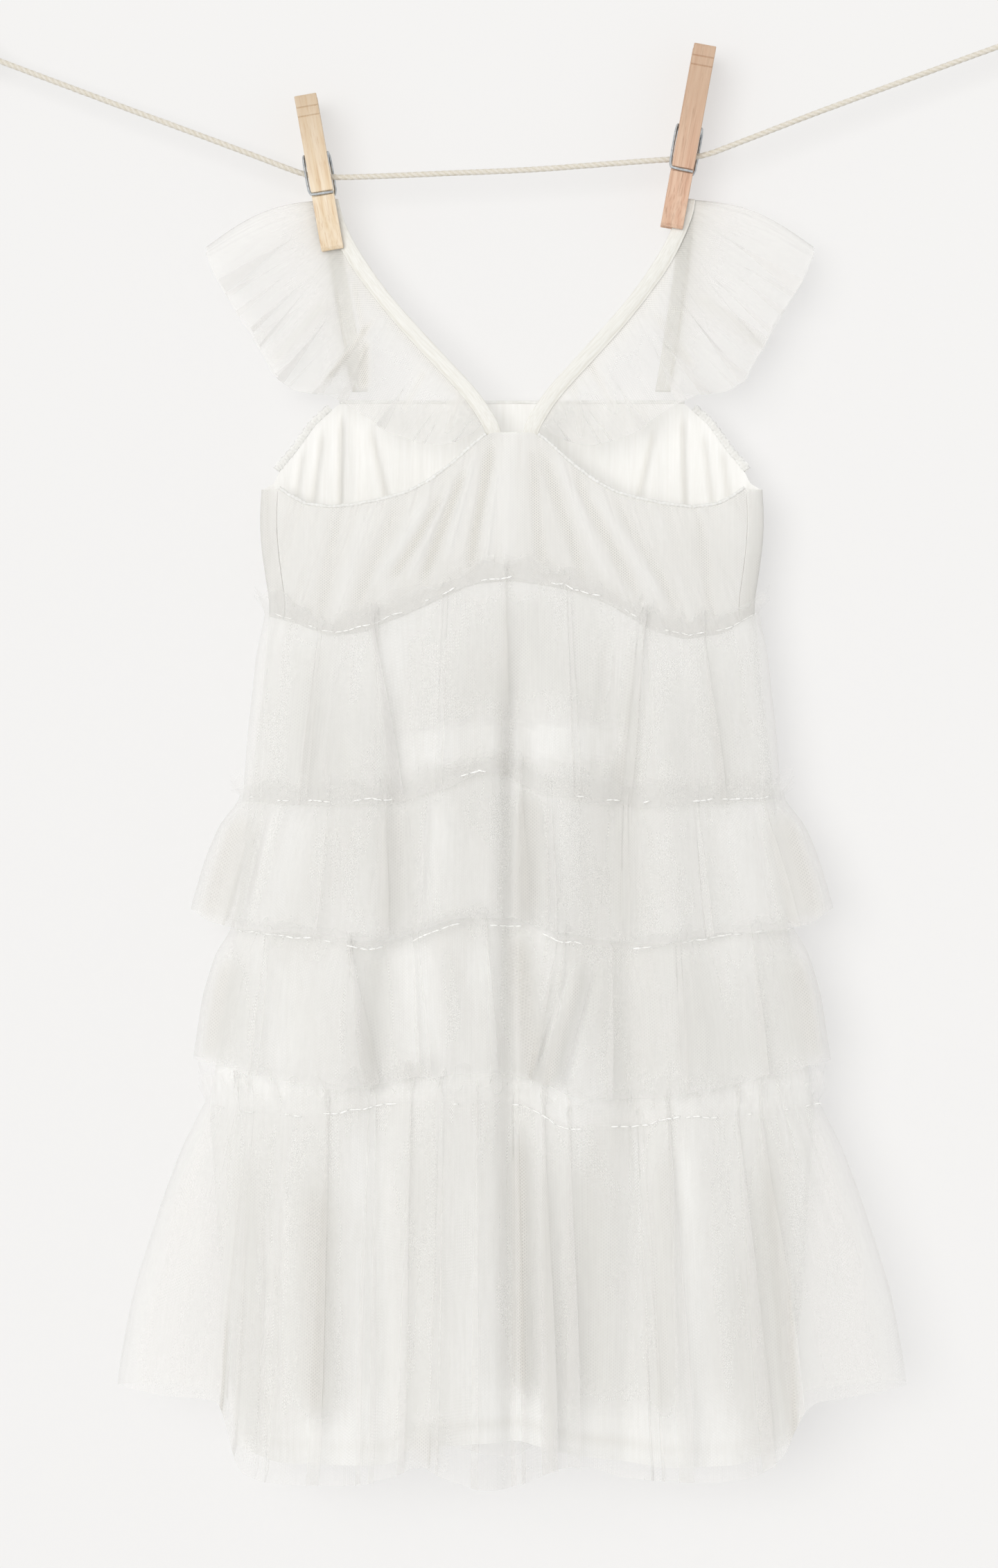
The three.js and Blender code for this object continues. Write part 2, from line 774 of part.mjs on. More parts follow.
function strapSheet() {
  const count = (STRAP.length - 1) * STRAP_STEPS;
  return Array.from({ length: count + 1 }, (_, i) => [
    strapPoint(i / STRAP_STEPS, -STRAP_WIDTH / 2),
    strapPoint(i / STRAP_STEPS, STRAP_WIDTH / 2),
  ]);
}

function ruffleSheet() {
  return RUFFLE_EDGE.map((row) => {
    const root = strapPoint(row.along, STRAP_WIDTH / 2 + SEAM_GAP);
    return RUFFLE_COLUMNS.map((share) => {
      const eased = share ** 3;
      return new THREE.Vector3(
        root.x + share * (row.x - root.x),
        root.y + eased * (row.y - root.y),
        root.z + share * (row.z - root.z),
      );
    });
  });
}

const SHOULDERS = [
  ["left", -1, 2.4],
  ["right", 1, 0],
];
for (const [end, sign, shift] of SHOULDERS) {
  // The left shoulder hangs a little further out than the right one; the neck point stays put.
  const placed = (sheet) =>
    sheet.map((points) =>
      points.map((point) => {
        const rise = Math.min(1, Math.max(0, (point.z + 121) / 100));
        return new THREE.Vector3(sign * (point.x + shift * rise), point.y, point.z);
      }),
    );
  dress.add(named("strap_" + end, wallAbout(placed(strapSheet()), CLOTH), "binding"));
  dress.add(named("flutter_ruffle_" + end, wallAbout(placed(ruffleSheet()), CLOTH), "tulle"));
}

// ---- Clothes-pegs ----
const JAW = 2; // from the middle plane to the inner face of a jaw
const LINE_NOTCH = 2.5;
const COIL_NOTCH = COIL_RADIUS + WIRE_RADIUS + 0.35;
const LEG_OUTSIDE = 7.4;
const GROOVE_DEPTH = 0.8;
const GROOVE_HALF = WIRE_RADIUS + SEAM_GAP;
const ARC_STEPS = 6;

// The side profile of a leg, from the jaw tip up the inner face and down the outer one.
function legShape(peg, side) {
  const profile = [[JAW, 0]];
  const arc = (radius, centre) => {
    const edge = Math.asin(Math.sqrt(1 - (JAW / radius) ** 2));
    for (let i = 0; i <= ARC_STEPS; i += 1) {
      const angle = -edge + (2 * edge * i) / ARC_STEPS;
      profile.push([radius * Math.cos(angle), centre + radius * Math.sin(angle)]);
    }
  };
  arc(LINE_NOTCH, peg.lineAt);
  arc(COIL_NOTCH, peg.coilAt);
  profile.push([6, peg.length]);
  profile.push([8.6, peg.length]);
  profile.push([9.2, peg.length - 1.2]);
  profile.push([LEG_OUTSIDE, peg.coilAt + 5]);
  profile.push([LEG_OUTSIDE, peg.wireAt + GROOVE_HALF]);
  profile.push([LEG_OUTSIDE - GROOVE_DEPTH, peg.wireAt + GROOVE_HALF]);
  profile.push([LEG_OUTSIDE - GROOVE_DEPTH, peg.wireAt - GROOVE_HALF]);
  profile.push([LEG_OUTSIDE, peg.wireAt - GROOVE_HALF]);
  profile.push([7, 16]);
  profile.push([4.6, 1.5]);
  profile.push([3.6, 0]);
  return new THREE.Shape(profile.map(([out, up]) => new THREE.Vector2(side * out, up)));
}

// Shape x becomes depth, shape y becomes height and the extrusion runs across the peg.
const ACROSS = new THREE.Matrix4().makeBasis(
  new THREE.Vector3(0, 1, 0),
  new THREE.Vector3(0, 0, 1),
  new THREE.Vector3(1, 0, 0),
);

function pegLeg(peg, side) {
  const geometry = new THREE.ExtrudeGeometry(legShape(peg, side), { depth: PEG_WIDTH, bevelEnabled: false });
  geometry.translate(0, 0, -PEG_WIDTH / 2);
  return geometry.applyMatrix4(ACROSS);
}

// One wire: across the back leg, up its side, round the coil, down the other side and across the front leg.
function pegSpring(peg) {
  const beside = PEG_WIDTH / 2 + WIRE_RADIUS + SEAM_GAP;
  const onFace = LEG_OUTSIDE - GROOVE_DEPTH + WIRE_RADIUS + SEAM_GAP;
  const arm = [
    [-PEG_WIDTH / 2, onFace, peg.wireAt],
    [PEG_WIDTH / 2 - 1, onFace, peg.wireAt],
    [beside - 0.45, onFace - 0.1, peg.wireAt + 0.15],
    [beside, onFace - 0.8, peg.wireAt + 0.9],
    [beside, (onFace + COIL_RADIUS) / 2, (peg.wireAt + peg.coilAt) / 2],
    [beside, COIL_RADIUS + 0.15, peg.coilAt - 1.6],
  ];
  const turnSteps = 10;
  const count = COIL_TURNS * turnSteps;
  const coil = Array.from({ length: count + 1 }, (_, i) => {
    const angle = (2 * Math.PI * i) / turnSteps;
    return [beside - (2 * beside * i) / count, COIL_RADIUS * Math.cos(angle), peg.coilAt + COIL_RADIUS * Math.sin(angle)];
  });
  const otherArm = arm.map(([x, y, z]) => [-x, -y, z]).reverse();
  const path = [...arm, ...coil, ...otherArm].map((point) => new THREE.Vector3(...point));
  return roundTube(path, WIRE_RADIUS, 6, path.length - 1);
}

for (const peg of PEGS) {
  const holder = new THREE.Group();
  holder.position.set(peg.footX, 0, peg.footZ);
  holder.rotation.y = THREE.MathUtils.degToRad(peg.tilt);
  holder.add(named(peg.name + "_front_leg", pegLeg(peg, FRONT), peg.wood));
  holder.add(named(peg.name + "_back_leg", pegLeg(peg, BACK), peg.wood));
  holder.add(named(peg.name + "_spring", pegSpring(peg), "steel"));
  dress.add(holder);
}

// ---- Clothesline ----
const LINE_SIDES = 8;
const LINE_STEP = 7;
for (const [name, route] of Object.entries(LINE_STRETCHES)) {
  const points = route.map(([x, z]) => new THREE.Vector3(x, 0, z));
  const steps = Math.ceil(points[0].distanceTo(points[points.length - 1]) / LINE_STEP);
  dress.add(named(name, roundTube(points, LINE_RADIUS, LINE_SIDES, steps), "cotton"));
}

// Each end of the line is knotted into a small loop.
for (const [end, stretch] of [
  ["left", LINE_STRETCHES.line_left],
  ["right", LINE_STRETCHES.line_right],
]) {
  const [lastX, lastZ] = stretch[stretch.length - 1];
  const [nextX, nextZ] = stretch[stretch.length - 2];
  const holder = new THREE.Group();
  holder.position.set(lastX, 0, lastZ);
  holder.rotation.y = -Math.atan2(lastZ - nextZ, lastX - nextX);
  const knot = named("line_knot_" + end, new THREE.SphereGeometry(KNOT_RADIUS, 12, 8), "cotton");
  knot.scale.x = 1.2;
  knot.position.x = 1.2 * KNOT_RADIUS + SEAM_GAP;
  const loop = named("line_loop_" + end, new THREE.TorusGeometry(LOOP_RADIUS, LINE_RADIUS, 8, 18), "cotton");
  loop.rotation.x = Math.PI / 2;
  loop.position.x = 2.4 * KNOT_RADIUS + 2 * SEAM_GAP + LOOP_RADIUS + LINE_RADIUS;
  holder.add(knot);
  holder.add(loop);
  dress.add(holder);
}

export default dress;
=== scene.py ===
import functools
import itertools
import math

import bmesh
import bpy
import numpy as np
from mathutils import Matrix, Vector


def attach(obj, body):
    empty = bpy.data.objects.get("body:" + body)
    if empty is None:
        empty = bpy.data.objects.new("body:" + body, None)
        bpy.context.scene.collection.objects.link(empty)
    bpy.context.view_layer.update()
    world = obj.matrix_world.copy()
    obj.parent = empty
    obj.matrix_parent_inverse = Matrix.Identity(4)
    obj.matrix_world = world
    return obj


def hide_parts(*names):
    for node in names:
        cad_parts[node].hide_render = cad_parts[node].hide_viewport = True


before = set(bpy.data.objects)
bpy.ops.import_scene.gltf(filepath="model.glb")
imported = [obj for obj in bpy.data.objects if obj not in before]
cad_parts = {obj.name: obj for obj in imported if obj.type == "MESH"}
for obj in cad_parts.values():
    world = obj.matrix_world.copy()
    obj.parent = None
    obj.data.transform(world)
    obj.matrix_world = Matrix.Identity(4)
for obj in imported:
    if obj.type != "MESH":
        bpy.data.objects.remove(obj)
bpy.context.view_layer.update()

bl_info = {
    "name": "Tiered tulle dress",
    "version": (1, 0, 0),
    "blender": (4, 5, 0),
    "location": "3D View > Sidebar > Dress",
    "description": "A child's gathered tulle dress pegged on a cotton line, with its pegs and stage",
    "category": "Object",
}

# Lengths in this file are millimetres until a mesh is written, which is in metres.
# X runs to the viewer's right, the front of the dress faces -Y and Z is up.
# The origin is the middle of the line between the two pegs.
MM = 0.001

FRONT = -1
BACK = 1
SIDES = {"front": FRONT, "back": BACK}

# ---- The dress's measured lines ----
# The tube of the body: height, half width, half depth.
BODY = (
    (-605, 125, 24), (-520, 134, 23.5), (-432, 139.5, 22), (-350, 127.5, 19), (-290, 121.5, 17),
    (-240, 115, 15.5), (-200, 111.8, 14), (-187, 114, 13.5), (-172, 116, 13), (-158.5, 116.5, 12.5),
    (-147.5, 115.6, 12), (-100, 115.6, 8.5),
)
BODY_FOLDS = (
    (0.01, 0.05, -8), (-0.42, 0.07, -5), (0.42, 0.07, -4.5), (-0.24, 0.08, 2.5), (0.2, 0.08, 2.5),
    (-0.6, 0.08, 2), (0.6, 0.08, 2.5),
)
CHEST_EDGE = (
    (0, -121.4), (10, -121.6), (15.6, -125.7), (25.7, -135), (37.4, -144), (47.5, -149.5),
    (59.3, -152.8), (71.1, -155.1), (82.8, -156.4), (94.6, -154.8), (103, -150.4), (107.5, -147),
)
BACK_EDGE = (
    (0, -107), (80, -107), (91, -117), (99.5, -129), (108, -139), (110, -144), (115.6, -147.5),
)
EMPIRE_SEAM = (
    (-114, -204), (-102, -207), (-85, -213.5), (-70, -212), (-50, -204), (-31.5, -195.5),
    (-18, -189.6), (0, -188), (22, -191.3), (44, -198), (64, -210.6), (80, -215), (98, -212.3),
    (114, -203),
)
SECOND_SEAM = (
    (-125, -289), (-90, -291), (-55, -290), (-30, -283), (-15, -276.6), (-5, -277), (15.6, -287),
    (46, -290.5), (59, -291.4), (125, -289),
)
THIRD_SEAM = (
    (-129, -350), (-94, -353.5), (-66.5, -358.8), (-50, -356.7), (-25, -347), (5, -348),
    (17, -353.5), (48.5, -358.8), (67, -357.7), (88, -354), (129, -349),
)
FOURTH_SEAM = (
    (-141, -431), (-96, -436), (-83, -434), (-45, -428.4), (0, -429.5), (11, -432), (23, -440),
    (59, -440.4), (70, -436), (109, -435), (141, -431),
)
SECOND_HEM = (
    (-148.3, -339), (-140, -345.5), (-123, -349.5), (-94, -351), (-66, -355.5), (-50, -353.5),
    (-25, -344), (3, -344.5), (17, -350.5), (48, -355.5), (67, -355), (94, -351), (123, -349.5),
    (140, -345.5), (148.3, -339),
)
THIRD_HEM = (
    (-147.2, -409), (-139, -411), (-115, -416), (-80, -423), (-45, -417), (-10, -414), (5, -417),
    (30, -426), (60, -427), (100, -421), (139, -411), (147.2, -409),
)
FOURTH_HEM = (
    (-183, -560), (-137, -565), (-131, -570), (-126, -597), (-110, -602), (-75, -603.3),
    (-52, -598), (-42, -592), (-28, -598), (-12, -603), (0, -603.5), (20, -593), (38, -593.6),
    (50, -599), (93, -601), (115, -597), (126, -590), (131, -572), (137, -566), (183, -560),
)
LINING_HEM = (
    (-126, -588), (-108, -595), (-55, -595), (-44, -586), (4, -584), (30, -590), (68, -596),
    (103, -596), (126, -588),
)
STRAP = (
    (7.9, -9.9, -121, 0), (11.5, -9.4, -114.3, 38), (19.2, -8.6, -102.8, 46),
    (32.8, -7.4, -88.2, 46), (51.3, -5.6, -67.6, 44), (62.5, -3.4, -53, 40), (70.5, -1.6, -41, 33),
    (76.2, -0.9, -30, 24), (80, -0.9, -20, 12), (81, -0.9, -14.6, 2), (81.1, -0.64, -13.76, 0),
    (81.2, 0, -13.4, 0), (81.1, 0.64, -13.76, 0), (81, 0.9, -14.6, 2), (79.6, 0.9, -36, 6),
    (77, 2.6, -56, 8), (73, 5.1, -82, 8), (69.5, 7, -104.3, 0),
)
RUFFLE_EDGE = (
    (0.75, 17, -10, -121.6), (1.2, 24.5, -12.5, -125.6), (1.8, 33, -10.5, -127.4),
    (2.4, 44, -13, -126.4), (3, 55, -10, -122.5), (3.5, 66, -13, -115.5), (4, 76, -9.5, -108),
    (4.5, 86, -13.5, -103.8), (5, 98, -7.5, -103.3), (5.6, 108, -12, -97),
    (6.3, 113.5, -7.5, -86.5), (7, 120, -10, -72.5), (7.7, 128.5, -6, -59.5),
    (8.3, 135.5, -7.5, -48), (9, 138.6, -5, -40), (10, 139.4, -3, -36.5), (11, 139.5, 0, -35.2),
    (12, 139.4, 3, -36.5), (13, 138.6, 5, -40), (13.6, 132, 7.5, -54), (14.2, 124, 6.5, -68),
    (14.8, 116, 10, -82), (15.4, 109, 8.5, -94), (15.9, 101, 12, -100.5), (16.3, 91, 10.5, -102.5),
    (16.7, 81, 13, -102), (16.9, 75.5, 11, -101.5),
)
LINE_LEFT = (
    (-88.9, -2.4), (-92, -2.2), (-95, -1.9), (-99, -0.6), (-104, 1.3), (-110, 3.6), (-118, 6.7),
    (-130, 11.2), (-143.6, 16.3), (-157, 21.2), (-171, 26.3), (-185, 31.5), (-200, 37.1),
    (-215, 42.7), (-228, 47.6), (-240, 52.1),
)
LINE_MIDDLE = (
    (-88.5, -2.4), (-84, -2.8), (-80, -3), (-75, -2.9), (-65, -2.6), (-50, -2), (-33, -1.2),
    (-16, -0.5), (0, 0), (15, 0.9), (30, 2.1), (45, 3.3), (58, 4.3), (67, 5), (73, 5.3),
    (79.2, 5.8),
)
LINE_RIGHT = (
    (79.6, 5.9), (84, 6.4), (88, 6.9), (93, 8.4), (100, 11.2), (108, 14.3), (119, 18.5),
    (131, 23.2), (144.4, 28.3), (157, 32.9), (170, 37.6), (184, 42.7), (198, 47.8), (210, 52.2),
    (219, 55.4), (229, 59),
)
TIER_1_SECTIONS = (
    (-1, 4.5, 3.8), (0, 1.5, 1.5), (0.23, 4.6, 3.2), (0.57, 4.9, 4.4), (0.88, 3.6, 4.5),
    (1, 3, 4.5),
)
TIER_2_SECTIONS = (
    (-1, 6.4, 8.2), (0, 3, 4.5), (0.25, 12.5, 9), (0.55, 17.5, 12), (1, 22, 14),
)
TIER_2_FOLDS = (
    (-0.85, 0.06, 2), (-0.66, 0.06, -3), (-0.45, 0.06, 3), (-0.16, 0.06, 2.5), (0.1, 0.05, 3),
    (0.3, 0.06, -2), (0.5, 0.06, 2.5), (0.72, 0.06, -2.5),
)
TIER_3_SECTIONS = (
    (-1, 3, 3), (0, 1.5, 1.5), (0.17, 7.5, 4.5), (0.5, 10.8, 8.5), (1, 11, 11.5),
)
TIER_3_FOLDS = (
    (-0.8, 0.06, -2), (-0.5, 0.06, 2.5), (-0.27, 0.05, -2), (-0.1, 0.05, 3), (0.14, 0.05, 3.5),
    (0.35, 0.06, -2), (0.63, 0.06, 2), (0.85, 0.06, -1.5),
)
TIER_4_SECTIONS = (
    (-1, 3.6, 3.6), (0, 1.5, 1.5), (0.1, 11, 4), (0.32, 23.5, 8), (0.65, 40, 11.5), (1, 53, 14),
)
TIER_4_FOLDS = (
    (-0.78, 0.06, -6), (-0.66, 0.06, 5), (-0.49, 0.05, -5), (-0.36, 0.05, 5), (-0.14, 0.06, 4),
    (0.12, 0.05, 5), (0.28, 0.06, -3), (0.43, 0.05, 5), (0.66, 0.06, 5), (0.78, 0.06, -6),
)
SIDE_SEAM = 0.93  # share across at which the front bodice is sewn to the back one
SIDE_WRAP = 0.9335  # share across, on the front, that the back bodice reaches round to
SEAM_GAP = 0.3  # between pieces that are sewn or clipped together
EMPIRE_REACH = 114  # half width of the empire seam
LINING_REACH = 126  # half width of the lining's hem
UNDERARM = -147.5  # height of the foot of the armholes
FOLDS_START, FOLDS_FULL = -210, -265  # heights between which the long folds grow
BACK_SOFTNESS = 0.8  # how deep the back's folds are beside the front's
SEAM_FOLLOWS = 0.3  # how far a seam of the back follows the front's rise and fall
HEM_FOLLOWS = 0.9  # the same for a hem
FOLD_ANGLE = 100  # cloth turned back on itself by more than this many degrees is a pressed fold
THREAD_GRID = 0.45  # the drawn pitch of the lawn's weave, in millimetres

# Each tier: its seam and hem lines, how far it runs on under the next tier, how high its raw edge
# stands above the seam, how far its hem curls in, whether the hem is sewn down, its sections (share
# down, how far it stands out at the sides and in front), its long folds (share across, reach,
# depth), how late it flares towards its sides, and the mesh's rows on one layer.
# Pleats, where the net doubles over itself: place at the seam and at the hem, half width at the
# hem, and which way the fold lies (+1 with its free edge to the right).
TIERS = {
    "tier_1": dict(
        seam=EMPIRE_SEAM, hem=SECOND_SEAM, underlap=2, heading=9, curl=0, sewn=True,
        sections=TIER_1_SECTIONS, folds=(), flare=1.0, rows=30,
        pleats=(
            (-88, -96, 2, -1), (-64, -52, 3.4, 1), (-30, -34, 1.6, -1), (-3, -3, 2.4, 1),
            (26, 30, 1.6, -1), (60, 51, 3.2, -1), (88, 97, 2, 1),
        ),
    ),
    "tier_2": dict(
        seam=SECOND_SEAM, hem=SECOND_HEM, underlap=0, heading=9, curl=0.15, sewn=False,
        sections=TIER_2_SECTIONS, folds=TIER_2_FOLDS, flare=2.0, rows=22,
        pleats=(
            (-115, -130, 2.6, -1), (-84, -90, 1.6, 1), (-58, -58, 3.2, 1), (-38, -40, 1.6, -1),
            (4, 4, 4.2, 1), (17, 18, 2.6, -1), (52, 51, 2.4, -1), (84, 90, 1.8, -1),
            (115, 130, 2.6, 1),
        ),
    ),
    "tier_3": dict(
        seam=THIRD_SEAM, hem=THIRD_HEM, underlap=0, heading=6, curl=0.15, sewn=False,
        sections=TIER_3_SECTIONS, folds=TIER_3_FOLDS, flare=1.6, rows=24,
        pleats=(
            (-112, -118, 2, -1), (-74, -64, 4.2, 1), (-44, -40, 3, -1), (-12, -8, 2.4, 1),
            (23, 12, 4.4, -1), (46, 44, 1.8, 1), (76, 78, 2.2, -1), (110, 116, 2, 1),
        ),
    ),
    "tier_4": dict(
        seam=FOURTH_SEAM, hem=FOURTH_HEM, underlap=0, heading=15, curl=0.1, sewn=False,
        sections=TIER_4_SECTIONS, folds=TIER_4_FOLDS, flare=3.0, rows=38,
        pleats=(
            (-122, -130, 3.4, -1), (-104, -114, 2.6, -1), (-84, -90, 3.6, 1), (-64, -67, 4.4, -1),
            (-46, -50, 2.6, 1), (-32, -36, 2, -1), (-16, -17, 2.2, 1), (2, 3, 3.2, -1),
            (14, 17, 4.6, 1), (26, 28, 3.6, 1), (58, 66, 3, -1), (72, 79, 4.2, 1),
            (101, 117, 4.4, 1), (116, 130, 4.6, 1),
        ),
    ),
}


# ---- Reading the tables ----
def linear(channel):
    """One sRGB channel from 0 to 1 as linear light."""
    return channel / 12.92 if channel <= 0.04045 else ((channel + 0.055) / 1.055) ** 2.4


def colour(hex_text):
    """A colour written as #RRGGBB, as linear red, green, blue and 1."""
    return tuple(linear(int(hex_text[i : i + 2], 16) / 255) for i in (1, 3, 5)) + (1.0,)


def between(rows, at, column=1):
    """A column of a table at a place in its first column, in straight steps."""
    table = np.array(rows, float)
    return np.interp(at, table[:, 0], table[:, column])


def softened(rows, at, column=1, reach=6.0):
    """The same reading with the corners of the table rounded off over the reach."""
    weights = ((-1.0, 0.15), (-0.5, 0.2), (0.0, 0.3), (0.5, 0.2), (1.0, 0.15))
    return sum(weight * between(rows, at + shift * reach, column) for shift, weight in weights)


def smooth_step(share):
    """Runs from 0 to 1 as the share does, with a level start and end."""
    held = np.clip(share, 0.0, 1.0)
    return held * held * (3 - 2 * held)


def drift(seed, x, y):
    """Smooth noise from -1 to 1, whose cells are one unit wide."""
    cells = 97
    values = np.random.default_rng(seed).uniform(-1, 1, (cells, cells))
    column = np.floor(x).astype(int)
    row = np.floor(y).astype(int)
    along = smooth_step(x - column)
    down = smooth_step(y - row)

    def at(right, below):
        return values[(row + below) % cells, (column + right) % cells]

    upper = at(0, 0) + along * (at(1, 0) - at(0, 0))
    lower = at(0, 1) + along * (at(1, 1) - at(0, 1))
    return upper + down * (lower - upper)


def rounded_folds(noise):
    """Turns smooth noise into cloth folds: round on top and tight in the valleys, from 0 to 1."""
    size = np.abs(noise)
    return 1 - np.sqrt(np.clip(1 - size, 0, 1) ** 2 * 0.94 + 0.06) * (1 - size * 0.35)


def bumps(table, at):
    """The sum of rounded folds: middle, reach and height of each."""
    return sum(out * np.exp(-(((at - middle) / reach) ** 2)) for middle, reach, out in table)


def creases(table, x, z):
    """The sum of troughs and ridges drawn as lines: x and z of both ends, half width, height."""
    total = np.zeros_like(x)
    for x0, z0, x1, z1, reach, out in table:
        run = np.array([x1 - x0, z1 - z0], float)
        length = np.hypot(*run)
        along = ((x - x0) * run[0] + (z - z0) * run[1]) / length**2
        off = ((x - x0) * run[1] - (z - z0) * run[0]) / length
        ends = smooth_step(along / 0.25 + 0.3) * smooth_step((1 - along) / 0.25 + 0.3)
        total += out * ends * np.exp(-((off / reach) ** 2))
    return total


def line_height(line, x, side, follows):
    """A seam or hem line's height at a place across."""
    front = softened(line, x, reach=4.0)
    if side == FRONT:
        return front
    at_side = between(line, np.where(x < 0, line[0][0], line[-1][0]))
    return at_side + follows * (front - at_side)


def body_width(z):
    return softened(BODY, z, 1)


def body_depth(z):
    return softened(BODY, z, 2)


CHEST_REACH = float(body_width(UNDERARM))


def shell(across, side, z, x, deep, ripple, gap=SEAM_GAP):
    """Points of a cloth layer round the body: deep off the tube, with a ripple along its normal."""
    bow = np.sqrt(np.maximum(0.0, 1 - across**2))
    softness = np.where(side == FRONT, 1.0, BACK_SOFTNESS)
    long_folds = softness * bumps(BODY_FOLDS, np.clip(x / body_width(z), -1, 1))
    long_folds = long_folds * smooth_step((FOLDS_START - z) / (FOLDS_START - FOLDS_FULL))
    depth = body_depth(z) + long_folds + deep
    width = np.maximum(np.abs(x), 60.0)
    sideways = across * depth
    forward = bow * width
    size = np.hypot(sideways, forward) + 1e-6
    held = ripple * (1 - across**40)
    return np.stack(
        [
            x + held * sideways / size,
            side * (gap / 2 + depth * bow + held * forward / size),
            z,
        ],
        axis=-1,
    )


# ---- Making meshes ----
def mesh_of(bm, name):
    """Writes a finished shape as a mesh."""
    mesh = bpy.data.meshes.new(name)
    bm.to_mesh(mesh)
    bm.free()
    return mesh


def in_scene(mesh, material):
    """Puts a mesh into the scene in its material."""
    piece = bpy.data.objects.new(mesh.name, mesh)
    bpy.context.scene.collection.objects.link(piece)
    mesh.materials.append(material)
    return piece


def kept(mesh, material, nodes=()):
    """Puts a finished mesh into the scene as a piece of the dress."""
    piece = in_scene(mesh, material)
    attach(piece, "root")
    if nodes:
        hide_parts(*nodes)
    return piece


def grid(name, columns, rows, shape, joined=False):
    """A mesh of columns by rows faces. shape takes shares along and down it and gives points and
    chart in millimetres and the cloth's marks. joined closes it into a tube."""
    bm = bmesh.new()
    bmesh.ops.create_grid(bm, x_segments=columns, y_segments=rows, size=1.0)
    mesh = mesh_of(bm, name)
    count = len(mesh.vertices)
    plan = np.empty(count * 3)
    mesh.vertices.foreach_get("co", plan)
    plan = plan.reshape(-1, 3)
    points, chart, marks = shape((plan[:, 0] + 1) / 2, (1 - plan[:, 1]) / 2)
    mesh.vertices.foreach_set("co", (points * MM).ravel())
    corners = np.empty(len(mesh.loops), np.int32)
    mesh.loops.foreach_get("vertex_index", corners)
    layer = mesh.uv_layers.new(name="cloth")
    layer.data.foreach_set("uv", chart[corners].ravel().astype(np.float32))
    for mark, values in marks.items():
        made = mesh.attributes.new(mark, "FLOAT", "POINT")
        made.data.foreach_set("value", np.asarray(values, np.float32))
    mesh.update()
    bm = bmesh.new()
    bm.from_mesh(mesh)
    if joined:
        bmesh.ops.remove_doubles(bm, verts=bm.verts, dist=1e-6)
        ends = [edge for edge in bm.edges if edge.is_boundary]
        if ends:
            bmesh.ops.holes_fill(bm, edges=ends, sides=0)
        bmesh.ops.recalc_face_normals(bm, faces=bm.faces)
    bm.to_mesh(mesh)
    bm.free()
    mesh.shade_smooth()
    mesh.set_sharp_from_angle(angle=math.radians(FOLD_ANGLE))
    return mesh


def evenly(route, step):
    """Points a step apart along a route, with its corners rounded."""
    route = np.array(route, float)
    for _ in range(2):
        middle = (route[:-2] + 2 * route[1:-1] + route[2:]) / 4
        route = np.vstack([route[:1], (route[1:-1] + middle) / 2, route[-1:]])
    gaps = np.linalg.norm(np.diff(route, axis=0), axis=1)
    along = np.concatenate([[0], np.cumsum(gaps)])
    places = np.linspace(0, along[-1], max(3, int(math.ceil(along[-1] / step)) + 1))
    return np.stack([np.interp(places, along, route[:, i]) for i in range(3)], axis=1), places


def rope_mesh(name, route, section, sides=12, step=1.0):
    """A closed tube along a route. section takes the angle and the length run and gives the
    radius there, so that it can turn, swell or carry strands."""
    path, places = evenly(route, step)
    tangent = np.gradient(path, axis=0)
    tangent /= np.linalg.norm(tangent, axis=1)[:, None]
    first = np.cross(tangent[0], (0.0, 1.0, 0.0))
    if np.linalg.norm(first) < 0.1:
        first = np.cross(tangent[0], (1.0, 0.0, 0.0))
    across = [first / np.linalg.norm(first)]
    for direction in tangent[1:]:
        carried = across[-1] - direction * np.dot(across[-1], direction)
        across.append(carried / np.linalg.norm(carried))
    across = np.array(across)
    other = np.cross(tangent, across)

    def shape(along, down):
        row = np.round(along * (len(path) - 1)).astype(int)
        angle = 2 * math.pi * down
        radius = section(angle, places[row])
        low, high = radius.min(), radius.max()
        # Painted shade: the surface is marked darker where the radius dips, between strands and in hollows.
        hollow_shade = 0.6 * (high - radius) / (high - low + 1e-9)
        points = path[row] + radius[:, None] * (
            np.cos(angle)[:, None] * across[row] + np.sin(angle)[:, None] * other[row]
        )
        return points, np.stack([places[row], angle], axis=1), {"fold": hollow_shade}

    return grid(name, len(path) - 1, sides, shape, joined=True)


# ---- Materials ----
# Patterns on cloth, cord and wire read the piece's own chart, in millimetres, so a scale there is
# one over a real size. Patterns on wood and board read Object coordinates, which are in metres.
def add(tree, kind, inputs=(), **settings):
    """Adds a node with its settings and links. Its inputs are values, nodes or sockets, given by
    name or in the order of the sockets that its settings leave on."""
    made = tree.nodes.new("ShaderNode" + kind)
    for key, value in settings.items():
        setattr(made, key, value)
    sockets = [socket for socket in made.inputs if socket.enabled]
    named = inputs if isinstance(inputs, dict) else dict(enumerate(inputs))
    for key, value in named.items():
        socket = sockets[key] if isinstance(key, int) else made.inputs[key]
        if isinstance(value, bpy.types.Node):
            value = next(output for output in value.outputs if output.enabled)
        if isinstance(value, bpy.types.NodeSocket):
            tree.links.new(value, socket)
        else:
            socket.default_value = value
    return made


def started(name):
    """A new empty material, and the function that adds nodes to it."""
    material = bpy.data.materials.new(name)
    material.use_nodes = True
    material.node_tree.nodes.clear()
    return material, functools.partial(add, material.node_tree)


def cloth_marks(node):
    """The cloth's chart and its mark of painted shade in folds, valleys and hollows, which on net also sets
    how closely the threads lie.
    """
    fold = node("Attribute", attribute_name="fold")
    return node("UVMap", uv_map="cloth"), fold.outputs["Fac"]


def drawn_noise(node, vector, scale, detail, size=1.0, **place):
    """Noise whose cells are stretched, and moved or turned by place."""
    spot = node("Mapping", {"Vector": vector, "Scale": scale, **place})
    return node("TexNoise", {"Vector": spot, "Scale": size, "Detail": detail})


